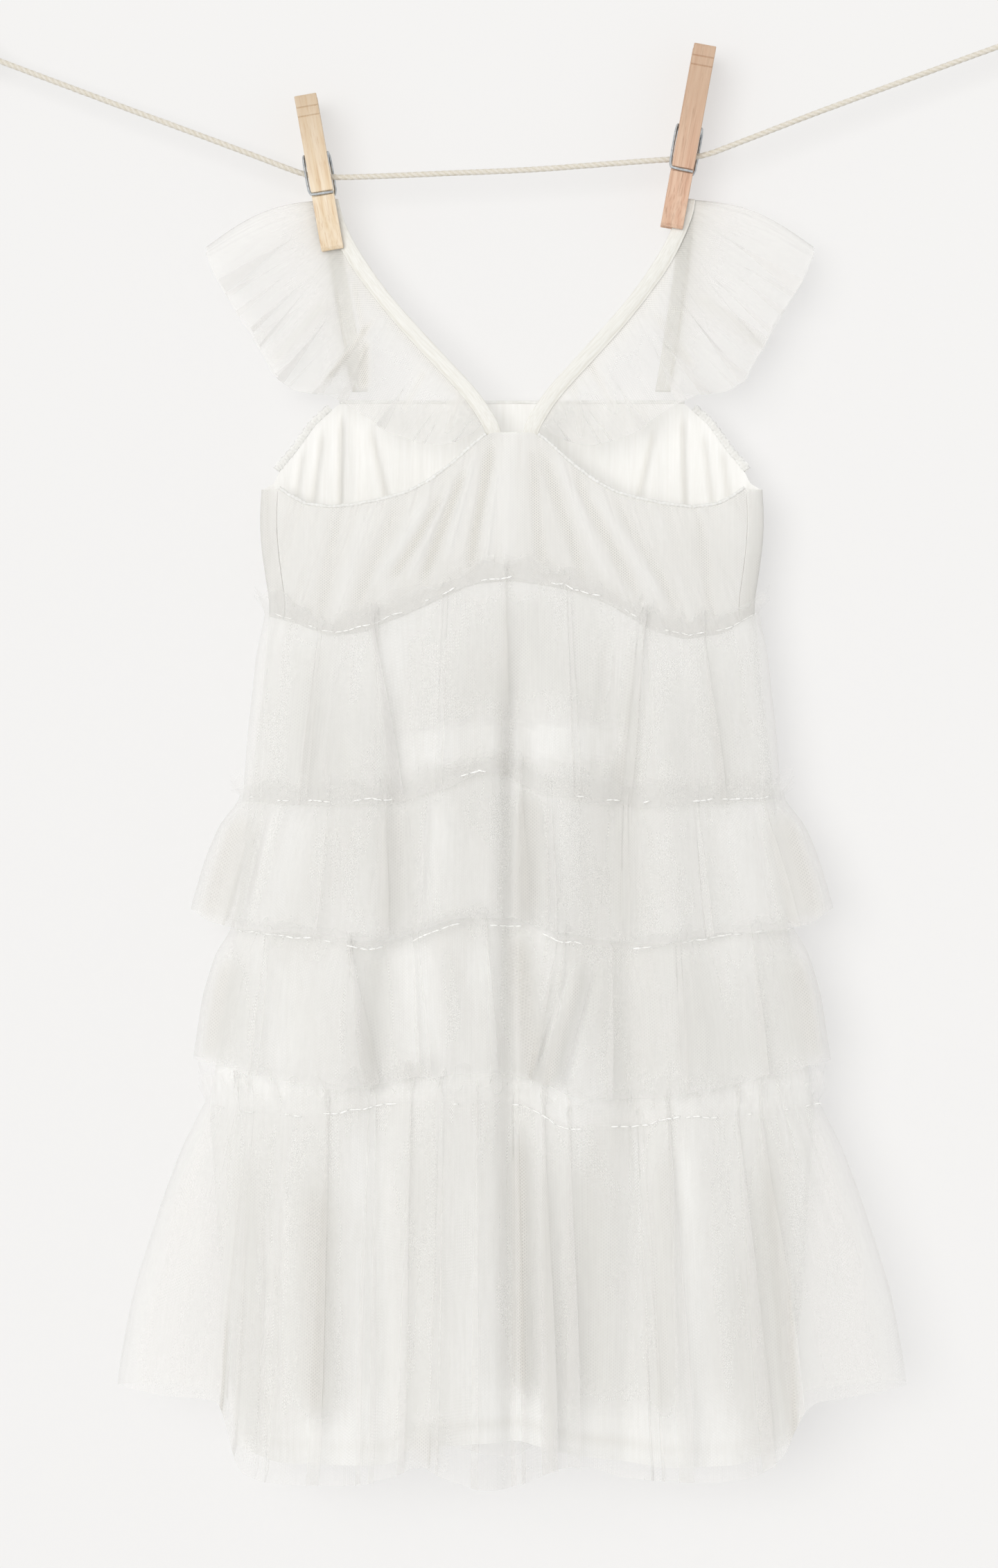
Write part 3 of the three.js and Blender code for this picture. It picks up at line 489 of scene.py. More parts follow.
def streaks(node, chart, across, down, detail=2.0):
    """Noise drawn out along the cloth: its cells' size across and down, in millimetres."""
    return drawn_noise(node, chart, (1 / across, 1 / down, 1.0), detail)


def waves_along(node, chart, shape, ways):
    """A wave along the chart for each direction, whose length sets its pitch."""
    reaches = [node("VectorMath", (chart, way), operation="DOT_PRODUCT") for way in ways]
    return [node("Math", (reach,), operation=shape) for reach in reaches]


def net_threads(node, chart, pitch):
    """A net of six-sided holes: near 1 on a thread and 0 in a hole."""
    step = 2 * math.pi / (pitch * math.cos(math.radians(30)))
    turns = [math.radians(turn) for turn in (0, 60, 120)]
    ways = [(step * math.cos(turn), step * math.sin(turn), 0.0) for turn in turns]
    first, second, third = waves_along(node, chart, "COSINE", ways)
    total = node("Math", (node("Math", (first, second)), third))
    return node("MapRange", (total, 1.6, -0.4, 0.0, 1.0))


def soft_tulle(name, look, open_share, close_share, pitch):
    """Nylon tulle, knitted in six-sided holes: sheer where it is flat and denser where gathers crowd the
    threads, with painted shade in its folds and valleys, lit a little from behind, with a raw edge that
    frays."""
    material, node = started(name)
    chart, fold = cloth_marks(node)
    edge = node("Attribute", attribute_name="edge").outputs["Fac"]
    net = net_threads(node, chart, pitch)
    ribs = streaks(node, chart, look.rib_width, 60.0)
    clouds = streaks(node, chart, 18.0, 50.0, 3.0)
    patches = streaks(node, chart, 14.0, 40.0, 1.0)
    # The holes show in patches and where the net is crowded.
    patchy = node("MapRange", (patches, 0.45, 0.65, 0.02, 0.12))
    crowded = node("MapRange", (fold, 0.42, 0.75, 0, 0.7))
    shown_holes = node("Math", (patchy, crowded))
    crisp = node("Math", (shown_holes, look.net_contrast), operation="MULTIPLY")
    holes = node("MapRange", (net, 0, 1, -1, 1))
    cover = node("MapRange", (fold, 0, 1, open_share, close_share))
    for part in (
        node("Math", (holes, crisp), operation="MULTIPLY"),
        node("MapRange", (ribs, 0.3, 0.7, -0.012, 0.012)),
        node("MapRange", (clouds, 0.3, 0.7, -0.05, 0.05)),
    ):
        cover = node("Math", (cover, part))
    # The raw edge loses its threads where the noise is low.
    fray = node("TexNoise", {"Vector": chart, "Scale": 0.9, "Detail": 2.0})
    frayed = node("Math", (node("Math", (fray, 1.0)), edge), operation="SUBTRACT")
    whole = node("MapRange", (frayed, 0.55, 0.75, 0, 1))
    covered = node("Math", (cover, whole), operation="MULTIPLY", use_clamp=True)
    # Painted shade: the net's colour turns from its light tone to its painted shade tone where the mark is
    # high.
    tint = node("MapRange", (fold, 0.15, 1, 0, 1))
    shown = node("Mix", (tint, look.net_light, look.net_painted_shade), data_type="RGBA")
    rib_height = node("MapRange", (ribs, 0.2, 0.8, 0, 1))
    height = node("Math", (rib_height, node("MapRange", (net, 0, 1, 0, 0.35))))
    shader = node(
        "BsdfPrincipled",
        {
            "Base Color": shown,
            "Roughness": 0.8,
            "Sheen Weight": 0.1,
            "Sheen Roughness": 0.6,
            "Normal": node("Bump", {"Strength": 0.06, "Distance": 0.0003, "Height": height}),
        },
    )
    glow = node("BsdfTranslucent", {"Color": shown})
    cloth = node("MixShader", (0.4, shader, glow))
    worn = node("MixShader", (covered, node("BsdfTransparent"), cloth))
    node("OutputMaterial", {"Surface": worn})
    return material


def tinted(node, shade_share, fold, light, shade, roughness, sheen, bump):
    """A matt fibre's shader: lighter yarn, darker by its own share, and with painted shade in its folds and
    hollows where the cloth's mark is high. sheen is its weight and roughness, bump its strength, distance
    and height."""
    tint = node("Math", (shade_share, fold), use_clamp=True)
    return node(
        "BsdfPrincipled",
        {
            "Base Color": node("Mix", (tint, light, shade), data_type="RGBA"),
            "Roughness": roughness,
            "Sheen Weight": sheen[0],
            "Sheen Roughness": sheen[1],
            "Normal": node("Bump", dict(zip(("Strength", "Distance", "Height"), bump))),
        },
    )


def woven_cotton(name, light, shade):
    """Combed cotton lawn, plain woven: matt and opaque, with a fine thread grid that is drawn
    at the width of two threads so that it shows."""
    material, node = started(name)
    chart, fold = cloth_marks(node)
    step = 2 * math.pi / THREAD_GRID
    ways = ((step, 0.0, 0.0), (0.0, step, 0.0))
    weave = node("Math", waves_along(node, chart, "SINE", ways), operation="MULTIPLY")
    slubs = streaks(node, chart, 1.6, 20.0, 3.0)
    weave_height = node("MapRange", (weave, -1, 1, 0, 0.3))
    height = node("Math", (weave_height, node("MapRange", (slubs, 0.2, 0.8, 0, 1))))
    slubbed = node("MapRange", (slubs, 0.3, 0.7, 0, 0.25))
    bump = (0.25, 0.0003, height)
    shader = tinted(node, slubbed, fold, light, shade, 0.85, (0.08, 0.5), bump)
    glow = node("BsdfTranslucent", {"Color": light})
    node("OutputMaterial", {"Surface": node("MixShader", (0.3, shader, glow))})
    return material


def satin_binding(name, light, shade):
    """Cotton sateen cut on the bias and folded: smooth with a faint slanting thread and a low
    sheen, so it reads warmer and closer than the net beside it."""
    material, node = started(name)
    chart, fold = cloth_marks(node)
    thread = drawn_noise(node, chart, (1.6, 0.25, 1.0), 3.0, Rotation=(0.0, 0.0, math.radians(45)))
    slanted = node("MapRange", (thread, 0.35, 0.65, 0, 0.4))
    bump = (0.25, 0.0003, thread)
    shader = tinted(node, slanted, fold, light, shade, 0.55, (0.1, 0.45), bump)
    node("OutputMaterial", {"Surface": shader})
    return material


def laid_cotton(name, light, shade):
    """Three-strand laid cotton cord: matt cream yarn with painted shade between the strands, and loose
    fibres on top."""
    material, node = started(name)
    chart, fold = cloth_marks(node)
    turn = (0.0, 0.0, math.radians(30))
    fibre = drawn_noise(node, chart, (0.9, 4.0, 1.0), 3.0, 1.6, Rotation=turn)
    yarn = node("MapRange", (fibre, 0.3, 0.7, 0, 0.5))
    bump = (0.5, 0.0004, fibre)
    shader = tinted(node, yarn, fold, light, shade, 0.92, (0.2, 0.5), bump)
    node("OutputMaterial", {"Surface": shader})
    return material


def sewing_thread(name, light):
    """Mercerised cotton thread: twisted, brighter than the net it gathers."""
    material, node = started(name)
    place = node("TexCoord").outputs["Object"]
    twist = node("TexNoise", {"Vector": place, "Scale": 2200.0, "Detail": 1.0})
    tint = node("MapRange", (twist, 0.35, 0.65, 0, 0.35))
    shader = node(
        "BsdfPrincipled",
        {
            "Base Color": node("Mix", (tint, light, colour("#D9D8D2")), data_type="RGBA"),
            "Roughness": 0.6,
            "Sheen Weight": 0.15,
            "Sheen Roughness": 0.4,
        },
    )
    node("OutputMaterial", {"Surface": shader})
    return material


def peg_wood(name, light, middle, dark, tilt, seed):
    """Planed hardwood, unvarnished: fine straight grain along the leg with short dark rays, and a
    greyer, handled end."""
    material, node = started(name)
    place = node("TexCoord").outputs["Object"]
    upright = node("Mapping", {"Vector": place, "Rotation": (0.0, -math.radians(tilt), 0.0)})
    # Cells per metre: grain lines 0.7 mm wide, slow bands 2.4 mm wide, rays 0.4 mm wide.
    grain = drawn_noise(node, upright, (1500.0, 1500.0, 45.0), 4.0, Location=(seed, seed, 0.0))
    band = drawn_noise(node, upright, (420.0, 420.0, 14.0), 2.0, Location=(seed, 0.0, seed))
    ray = drawn_noise(node, upright, (2600.0, 900.0, 130.0), 1.0, Location=(0.0, seed, seed))
    rise = node("SeparateXYZ", (upright,)).outputs["Z"]
    shown = light
    for where, span, tone in (
        (band, (0.35, 0.65, 0, 1), middle),
        (grain, (0.5, 0.78, 0, 0.55), dark),
        (ray, (0.7, 0.78, 0, 0.7), dark),
        (rise, (0.006, 0.05, 0, 0.55), colour("#B39A80")),
    ):
        shown = node("Mix", (node("MapRange", (where, *span)), shown, tone), data_type="RGBA")
    shader = node(
        "BsdfPrincipled",
        {
            "Base Color": shown,
            "Roughness": 0.62,
            "Specular IOR Level": 0.35,
            "Normal": node("Bump", {"Strength": 0.3, "Distance": 0.0003, "Height": grain}),
        },
    )
    node("OutputMaterial", {"Surface": shader})
    return material


def zinc_wire(name):
    """Galvanised spring wire, drawn: bright grey with fine draw lines and a soft bloom."""
    material, node = started(name)
    chart = node("UVMap", uv_map="cloth")
    lines = streaks(node, chart, 5.0, 0.08)
    bloom = node("TexNoise", {"Vector": chart, "Scale": 0.5, "Detail": 3.0})
    tint = node("MapRange", (bloom, 0.35, 0.65, 0, 1))
    shader = node(
        "BsdfPrincipled",
        {
            "Base Color": node("Mix", (tint, colour("#C3C7C9"), colour("#A2A6A9")), data_type="RGBA"),
            "Metallic": 1.0,
            "Roughness": node("MapRange", (lines, 0.3, 0.7, 0.25, 0.42)),
        },
    )
    node("OutputMaterial", {"Surface": shader})
    return material


def painted_board(name, light, glow):
    """Emulsion on thin board lit from behind: flat and pale, seen only from its painted side."""
    material, node = started(name)
    place = node("TexCoord").outputs["Object"]
    cloud = node("TexNoise", {"Vector": place, "Scale": 2.0, "Detail": 2.0})
    tint = node("MapRange", (cloud, 0.3, 0.7, 0, 1))
    shade = tuple(0.985 * channel for channel in light[:3]) + (1.0,)
    shader = node(
        "BsdfPrincipled",
        {
            "Base Color": node("Mix", (tint, light, shade), data_type="RGBA"),
            "Roughness": 0.9,
            "Specular IOR Level": 0.1,
            "Emission Color": (1.0, 0.995, 0.99, 1.0),
            "Emission Strength": glow,
        },
    )
    behind = node("NewGeometry").outputs["Backfacing"]
    shown = node("MixShader", (behind, shader, node("BsdfTransparent")))
    node("OutputMaterial", {"Surface": shown})
    return material


MADE = {}


def finish_of(name, make, *values):
    """Makes a material once, and gives the same one again after that."""
    if name not in MADE:
        MADE[name] = make(name, *values)
    return MADE[name]


def net_for(look):
    return finish_of("tulle_nylon_net", soft_tulle, look, 0.1, 0.8, look.net_pitch)


def fine_net_for(look):
    pitch = look.net_pitch * 0.8
    return finish_of("tulle_fine_gathered_net", soft_tulle, look, 0.5, 0.9, pitch)


def lining_for(look):
    return finish_of("lining_cotton_lawn", woven_cotton, look.lining_light, look.lining_painted_shade)


def binding_for(look):
    return finish_of("binding_cotton_sateen", satin_binding, look.binding_light, look.binding_painted_shade)


# ---- Tiers ----
PLEAT_LIFT = 0.5  # how far the legs of a pleat stand off each other
PLEAT_REACH = 0.07  # share across over which the net leans towards a pleat
HEADING_SHARE = 0.16  # share of each layer's net that stands above the seam
TURN_START = 0.93  # share of the way down at which the net starts to turn back up inside
NET_EASE = 1.4  # net taken up by the gathers for each millimetre of tier
INNER_LAYER = 40  # steps the inner layer's noise away from the outer one's
PLAN_STEPS = 6001
# Where a tier's net lies closer and is painted darker, as painted shade (+), or lies more open and is
# painted lighter (-): both ends' x and z, half width, how much.
CROWD_AND_PAINTED_SHADE = {
    "tier_1": (
        (-56, -213, -49, -289, 4, -0.08), (56, -213, 48, -289, 4, 0.2),
        (-2, -196, -2, -280, 3.5, 0.14), (-88, -215, -92, -285, 14, 0.16),
        (88, -215, 94, -285, 14, 0.12), (0, -196, 0, -245, 32, 0.12),
        (-28, -256, -26, -272, 15, -0.6), (28, -255, 28, -272, 18, -0.6),
    ),
    "tier_2": (
        (-56, -292, -54, -352, 7, 0.28), (9, -285, 9, -345, 7, 0.25), (50, -292, 50, -352, 5, 0.25),
        (-36, -292, -40, -345, 2.5, -0.2), (-2, -278, 20, -288, 6, -0.15),
        (-110, -292, -124, -352, 1.2, -0.3), (111, -292, 120, -352, 1.2, -0.3),
        (-126, -296, -142, -345, 12, 0.3), (126, -296, 142, -345, 12, 0.3),
        (-24, -300, -24, -340, 10, -0.15),
    ),
    "tier_3": (
        (-66, -356, -62, -416, 8, 0.12), (-134, -362, -142, -410, 12, 0.3),
        (134, -362, 142, -410, 12, 0.3), (-46, -356, -42, -410, 8, -0.4),
        (-18, -356, -12, -424, 9, -0.12), (3, -352, 10, -424, 5, 0.35),
        (80, -360, 82, -418, 32, 0.12), (-100, -360, -104, -412, 18, -0.1),
        (26, -366, 9, -418, 0.9, -0.4), (32, -366, 15, -424, 4.2, 0.4),
        (39, -364, 21, -430, 0.9, -0.4), (5, -420, 9, -427, 2.5, 0.5),
        (22, -426, 30, -440, 5, 0.35),
    ),
    "tier_4": (
        (-90, -462, -90, -580, 9, 0.32), (-66, -446, -66, -592, 9, -0.3),
        (4, -440, 5, -570, 4, 0.4), (69, -445, 70, -592, 5, 0.25), (78, -448, 79, -590, 5, -0.3),
        (-43, -577, -36, -591, 7, 0.35), (-104, -580, -62, -586, 11, -0.4),
        (-20, -572, 12, -575, 11, -0.8), (20, -578, 100, -584, 12, -0.5),
        (14, -446, 18, -600, 4, 0.22), (-131, -520, -133, -600, 1, 0.4),
        (126, -500, 130, -600, 1, 0.4), (-112, -480, -116, -600, 0.9, -0.3),
        (-105, -470, -107, -600, 0.9, -0.3), (40, -460, 44, -590, 14, 0.12),
        (-22, -460, -24, -590, 12, -0.1), (118, -450, 122, -590, 6, 0.2),
        (-120, -450, -122, -590, 6, 0.15),
    ),
}
# Soft folds laid over the pleats of the front: both ends' x and z, half width, height.
RIDGES = {
    "tier_1": (
        (-52, -213, -46, -289, 3, 1.3), (-46, -213, -39, -289, 3, -1), (-2, -198, -2, -285, 4, 1.4),
        (50, -213, 44, -289, 3, 1.8), (44, -213, 37, -289, 3, -1.4), (-24, -200, -34, -285, 4, 1.1),
        (22, -200, 33, -285, 4, 1.1), (-80, -215, -90, -285, 5, 1.2), (82, -215, 92, -285, 5, 1.2),
    ),
    "tier_2": (
        (-58, -294, -56, -352, 3.5, 1.9), (-50, -294, -47, -352, 3, -1.6),
        (-30, -290, -34, -345, 4, 1.2), (-16, -287, -15, -342, 4, -1),
        (9, -286, 9, -345, 3.5, -1.8), (18, -288, 19, -346, 3, 1.7), (48, -294, 50, -354, 3.5, 1.6),
        (57, -294, 60, -354, 3, -1.4), (-98, -296, -112, -350, 5, 1.2),
        (100, -296, 114, -350, 5, 1.2),
    ),
    "tier_3": (
        (31, -362, 14, -426, 3.8, 2.6), (23, -364, 7, -420, 2.4, -1.8),
        (41, -364, 23, -430, 2.4, -1.5), (-16, -352, -10, -424, 7, 1.5),
        (-30, -356, -24, -420, 3, -1.6), (2, -352, 3, -424, 2.6, -1.6),
        (-62, -358, -60, -420, 4, -1.4), (-72, -358, -72, -420, 4, 1.6),
        (70, -362, 72, -424, 6, 1.2), (96, -362, 100, -420, 5, 1), (-98, -360, -104, -414, 5, 1.2),
    ),
    "tier_4": (
        (-90, -450, -90, -590, 6, -1.8), (-70, -446, -68, -595, 6, 2),
        (-106, -450, -112, -600, 3, 1.4), (-40, -440, -42, -595, 5, -1.2),
        (-24, -438, -24, -595, 6, 1.6), (3, -440, 5, -600, 3, -2), (12, -442, 15, -604, 3.4, 2.2),
        (22, -446, 24, -600, 2.5, -1.4), (44, -448, 48, -598, 7, 1.2),
        (68, -448, 70, -595, 4, -1.4), (80, -450, 82, -595, 5, 2), (104, -450, 112, -598, 4, 1.2),
        (118, -452, 130, -600, 3, -1.4),
    ),
}


def zigzag(at):
    """Sideways course of a pleat's three legs, from 0 to 1, -1 and 0 again as at goes -1 to 1."""
    return np.interp(at, (-1.0, -0.34, 0.34, 1.0), (0.0, 1.0, -1.0, 0.0))


def tier_plan(tier, side):
    """The tier's course across at its hem: shares across, places and cloth length."""
    share = np.linspace(-1, 1, PLAN_STEPS)
    end_reach = tier["hem"][-1][0]
    hem_z = line_height(tier["hem"], share * end_reach, side, HEM_FOLLOWS)
    wide = between(tier["sections"], 1.0)
    plain = share * body_width(hem_z) + np.sign(share) * wide * np.abs(share) ** tier["flare"]
    course = plain.copy()
    pleats = []
    for seam_x, hem_x, half, turn in tier["pleats"]:
        middle = float(np.interp(hem_x, plain, share))
        reach = max(0.008, 0.42 * half / plain[-1])
        course += turn * half * zigzag((share - middle) / reach)
        pleats.append((middle, reach, seam_x, hem_x, half, turn))
    run = np.concatenate([[0], np.cumsum(np.abs(np.diff(course)))])
    return share, run - run[-1] / 2, pleats


def tier_course(tier, side, share, down, pleats):
    """Where a tier's net lies across and how its pleats lift it, for shares across and down."""
    held = np.maximum(down, 0.0)
    seam_reach, hem_reach = tier["seam"][-1][0], tier["hem"][-1][0]
    seam_z = line_height(tier["seam"], share * seam_reach, side, SEAM_FOLLOWS)
    hem_z = line_height(tier["hem"], share * hem_reach, side, HEM_FOLLOWS)
    near_z = seam_z + held * (hem_z - seam_z)
    wide = softened(tier["sections"], down, 1, 0.08)
    x = share * body_width(near_z) + np.sign(share) * wide * np.abs(share) ** tier["flare"]
    lean, weight, zig, lift = (np.zeros_like(x) for _ in range(4))
    growth = 0.3 + 0.7 * smooth_step(held / 0.8)
    for middle, reach, seam_x, hem_x, half, turn in pleats:
        at_middle = middle * body_width(near_z)
        at_middle = at_middle + np.sign(middle) * wide * abs(middle) ** tier["flare"]
        near = np.exp(-(((share - middle) / PLEAT_REACH) ** 2))
        lean += near * (seam_x + (hem_x - seam_x) * held - at_middle)
        weight += near
        legs = (share - middle) / reach
        zig += turn * half * growth * zigzag(legs)
        lift += PLEAT_LIFT * zigzag(legs) * -side * turn
    return x + lean / np.maximum(weight, 1.0) + zig, lift


def tier_shape(name, side, seed):
    """Gives the grid of one half of a tier: its net runs from the raw edge above the seam to the
    hem, folds there and runs back up inside."""
    tier = TIERS[name]
    shares, run, pleats = tier_plan(tier, side)

    def shape(along, down):
        length = run[0] + along * (run[-1] - run[0])
        share = np.interp(length, run, shares)
        inner = down > 0.5
        layer = np.where(inner, INNER_LAYER, 0)
        travel = np.where(inner, 2 - 2 * down, 2 * down)
        past_seam = travel - HEADING_SHARE
        fall = np.where(past_seam < 0, travel / HEADING_SHARE - 1, past_seam / (1 - HEADING_SHARE))
        held = np.maximum(fall, 0.0)
        rise = np.maximum(-fall, 0.0)

        def noise(step, width, below=0.0, sway=0.0):
            """Noise along the cloth, its cells a width of cloth in millimetres."""
            return drift(seed + step, length / width + sway, below)

        # Where the net lies: its seam, its uneven hem and its ragged top edge.
        x, lift = tier_course(tier, side, share, fall, pleats)
        seam_z = line_height(tier["seam"], x, side, SEAM_FOLLOWS)
        hem_x, _ = tier_course(tier, side, share, np.ones_like(share), pleats)
        hem_z = line_height(tier["hem"], hem_x, side, HEM_FOLLOWS) - tier["underlap"]
        hem_z = hem_z + 0.6 * noise(3, 8) + noise(4, 26)
        raggedness = 0.9 + 0.42 * noise(7, 4.5, layer) + 0.26 * noise(8, 14, layer)
        z = seam_z + held * (hem_z - seam_z) + rise * tier["heading"] * raggedness
        drop = np.maximum(seam_z - z, 0.0)

        # Fine gathers fade below the seam while the medium and broad folds open towards the hem.
        sway = 0.8 * noise(5, 40, z / 45)
        fine = rounded_folds(noise(11, 3.4, z / 55 + layer, sway))
        medium = rounded_folds(noise(12, 10, z / 110 + layer, sway))
        broad = noise(13, 30, z / 150 + layer, 0.5 * sway)
        ridges = creases(RIDGES[name], -side * x, z)
        ripple = fine * (0.9 * np.exp(-drop / 14) + 0.03) + 0.8 * ridges * smooth_step(drop / 12)
        ripple = ripple + medium * (0.5 * np.exp(-drop / 40) + 0.28 + 0.35 * smooth_step(drop / 55))
        ripple = ripple + (broad + 0.6) * (0.2 + 1.7 * smooth_step(drop / 80))
        if tier["sewn"]:
            ripple = ripple * (1 - 0.85 * smooth_step((held - 0.8) / 0.2))

        # The raw edge above the seam flares and crumples.
        flare = rounded_folds(noise(17, 4.6, rise * 1.3 + layer))
        crumple = noise(18, 3.4, rise * 2.2 + layer)
        flared = (0.3 + 1.4 * rise) * flare + 0.5 * (fine + medium) * (1 - rise)
        ripple = np.where(fall < 0, flared, ripple)
        x = x + 2.2 * rise * (1 - np.abs(share) ** 8) * crumple
        x = x + 2.5 * np.sign(share) * rise * smooth_step((np.abs(share) - 0.9) / 0.1)

        # The inner layer lies closer to the lining, and the two meet in the fold of the hem.
        closing = smooth_step((travel - TURN_START) / 0.07)
        ripple = np.where(inner, ripple * (0.5 + 0.5 * closing), ripple)
        curl = 1 - tier["curl"] * smooth_step((held - 0.55) / 0.45)
        deep = softened(tier["sections"], fall, 2, 0.08) * curl
        softness = 1.0 if side == FRONT else BACK_SOFTNESS
        own = softness * bumps(tier["folds"], share) * held**1.3
        full = deep + own + 0.45
        tucked = 0.5 * (deep + own) + 0.5
        deep_now = np.where(inner, tucked + closing * (full - tucked), full) + lift
        points = shell(share, side, z, x, deep_now, ripple)

        # The net is closer in valleys, under the seam and along the listed lines, and opens at the sides;
        # the same mark paints its colour darker where it is closer, as painted shade, and lighter where it
        # opens.
        valley = 1 - np.clip(ripple / (0.6 + 2.0 * smooth_step(drop / 60)), 0, 1)
        crowd = 0.12 + 0.15 * valley + 0.05 * np.exp(-drop / 8) * (fall >= 0)
        crowd = crowd - 0.12 * smooth_step(rise / 0.3)
        crowd = crowd + creases(CROWD_AND_PAINTED_SHADE[name], -side * x, z) + 0.3 * rise * np.maximum(crumple, 0)
        crowd = crowd * (1 - 0.85 * smooth_step((np.abs(share) - 0.95) / 0.045))
        edge = 0.75 * smooth_step((rise - 0.62) / 0.38)
        chart = np.stack([length * NET_EASE, -z + 2 * inner * (z - hem_z)], axis=1)
        return points, chart, {"fold": np.clip(crowd, 0, 1), "edge": edge}

    return shape


# ---- Stitches ----
def stitch_row(name, line, hidden_by, stand_off, reach, seed, look):
    """The gathering thread that shows along a seam, as short stitches with gaps where it dips
    into the net. Where the hem of the tier above hides the seam, it shows just under that hem."""
    rng = np.random.default_rng(seed)
    bm = bmesh.new()
    for side in (FRONT, BACK):
        x = -reach
        while x < reach:
            half = rng.uniform(0.9, 2.6)
            x += 2 * half - 0.4
            if rng.random() < 0.22:
                x += rng.uniform(1, 12)
                continue
            ends = []
            for place in (x - half, x + half):
                x_at = np.array([place])
                share = np.clip(x_at / (reach + 3), -0.995, 0.995)
                z = line_height(line, x_at, side, SEAM_FOLLOWS)
                if hidden_by:
                    z = np.minimum(z, line_height(hidden_by, x_at, side, HEM_FOLLOWS))
                z = z + 0.9 * drift(seed, x_at / 4, np.array([0.0]))
                ends.append(shell(share, side, z, x_at, stand_off, 0.0)[0])
            start, end = (Vector(point) * MM for point in ends)
            run = end - start
            turn = run.to_track_quat("X", "Z").to_matrix().to_4x4()
            thick = rng.uniform(0.22, 0.42) * MM
            size = Matrix.Diagonal((run.length * 0.55, thick, thick, 1.0))
            place = Matrix.Translation((start + end) / 2) @ turn @ size
            bmesh.ops.create_icosphere(bm, subdivisions=1, radius=1.0, matrix=place)
    mesh = mesh_of(bm, name)
    mesh.shade_smooth()
    return kept(mesh, finish_of("stitches_cotton_thread", sewing_thread, look.thread))


# ---- Lining ----
def lining_shape(side, seed):
    """One half of the slip lining, with a stitched line above its hem."""

    def shape(along, down):
        share = 2 * along - 1
        top = line_height(EMPIRE_SEAM, share * EMPIRE_REACH, side, SEAM_FOLLOWS) - 1.8
        hem = line_height(LINING_HEM, share * LINING_REACH, side, HEM_FOLLOWS)
        z = top + down * (hem - top)
        drop = top - z
        x = share * body_width(z)
        noise = drift(seed, x / 22 + 0.6 * drift(seed + 1, x / 50, z / 60), z / 170)
        ripple = 0.5 * noise * smooth_step(drop / 80) - 0.3
        points = shell(share, side, z, x, 0.0, ripple)
        # Painted shade in the lining's troughs; the stitched line above the hem is drawn darker as well.
        fold = np.clip(0.2 - 0.25 * noise, 0, 1) * smooth_step(drop / 60)
        hemline = np.exp(-(((z - hem - 9) / 0.5) ** 2))
        return points, np.stack([x, z], axis=1), {"fold": np.clip(fold + 0.45 * hemline, 0, 1)}

    return shape


# ---- Bodice ----
BODICE_EASE = 1.3  # net taken up by the gathers for each millimetre of bodice
# Folds that fan from the top of the bodice: both ends' x and z, half width, height.
BODICE_CREASES = (
    (-9, -126, -20, -186, 2.2, -1.6), (-7, -140, -12.5, -184, 1.6, 1.3),
    (-17, -132, -30, -180, 2, 1.4), (-22, -139, -41, -190, 2.2, -1.7),
    (-28, -146, -47, -188, 1.8, 1.2), (-31, -150, -56, -190, 2.2, -1.5),
    (-38, -152, -64, -192, 2.4, 0.9), (-2, -124, -3, -186, 3.5, 0.8),
    (9, -126, 14, -186, 2.6, -0.8), (13, -128, 34, -190, 2.6, -1), (19, -129, 46, -192, 2.6, 0.8),
    (26, -137, 57, -196, 2.6, -0.9), (34, -144, 70, -200, 3, 0.7), (-52, -153, -72, -203, 3, -0.7),
    (-66, -156, -80, -205, 3, 0.6), (46, -151, 78, -205, 3, -0.6), (-80, -158, -88, -206, 3, -0.5),
    (86, -158, 92, -206, 3, -0.5),
)
# Folds of the lining behind the armholes, for the right side; x mirrors for the left.
ARMHOLE_CREASES = (
    (66, -118, 57, -158, 1.6, -1.5), (79, -112, 80, -158, 1.3, -2.2), (74, -112, 71, -158, 3.5, 1),
    (88, -120, 93, -156, 1.5, -1.5), (97, -128, 101, -156, 1.6, -1.2), (48, -112, 44, -156, 3, 0.8),
)


def bodice_shape(offset, seed, gathered):
    """The front bodice, as net when gathered and as plain lining when not."""

    def shape(along, down):
        share = (2 * along - 1) * SIDE_SEAM
        top = softened(CHEST_EDGE, np.abs(share) * CHEST_REACH, reach=2.0)
        bottom = line_height(EMPIRE_SEAM, share * EMPIRE_REACH, FRONT, SEAM_FOLLOWS) - 1.5
        z = top + down * (bottom - top)
        x = share * body_width(z)
        from_top, from_seam = top - z, z - bottom
        ripple, valley, edge = (np.zeros_like(z) for _ in range(3))
        if gathered:
            fan = x + 0.35 * (z + 120) * np.tanh(x / 40)
            near = np.exp(-from_top / 7) + np.exp(-from_seam / 9)
            fine = rounded_folds(drift(seed, fan / 2.6, z / 40))
            medium = rounded_folds(drift(seed + 1, fan / 8, z / 70))
            fan_folds = creases(BODICE_CREASES, x, z)
            ripple = fine * (0.25 + 0.55 * near) + medium * 0.45 + np.maximum(fan_folds, -0.9)
            # Painted shade, with closer net: the mark is high in the troughs of the fanned folds.
            valley = np.clip(0.46 - 0.4 * fan_folds + 0.06 * near - 0.2 * fine, 0, 1)
            edge = 0.35 * np.exp(-from_top / 0.6)
        points = shell(share, FRONT, z, x, offset, np.maximum(ripple, -0.4), gap=0.0)
        return points, np.stack([x * BODICE_EASE, z], axis=1), {"fold": valley, "edge": edge}

    return shape


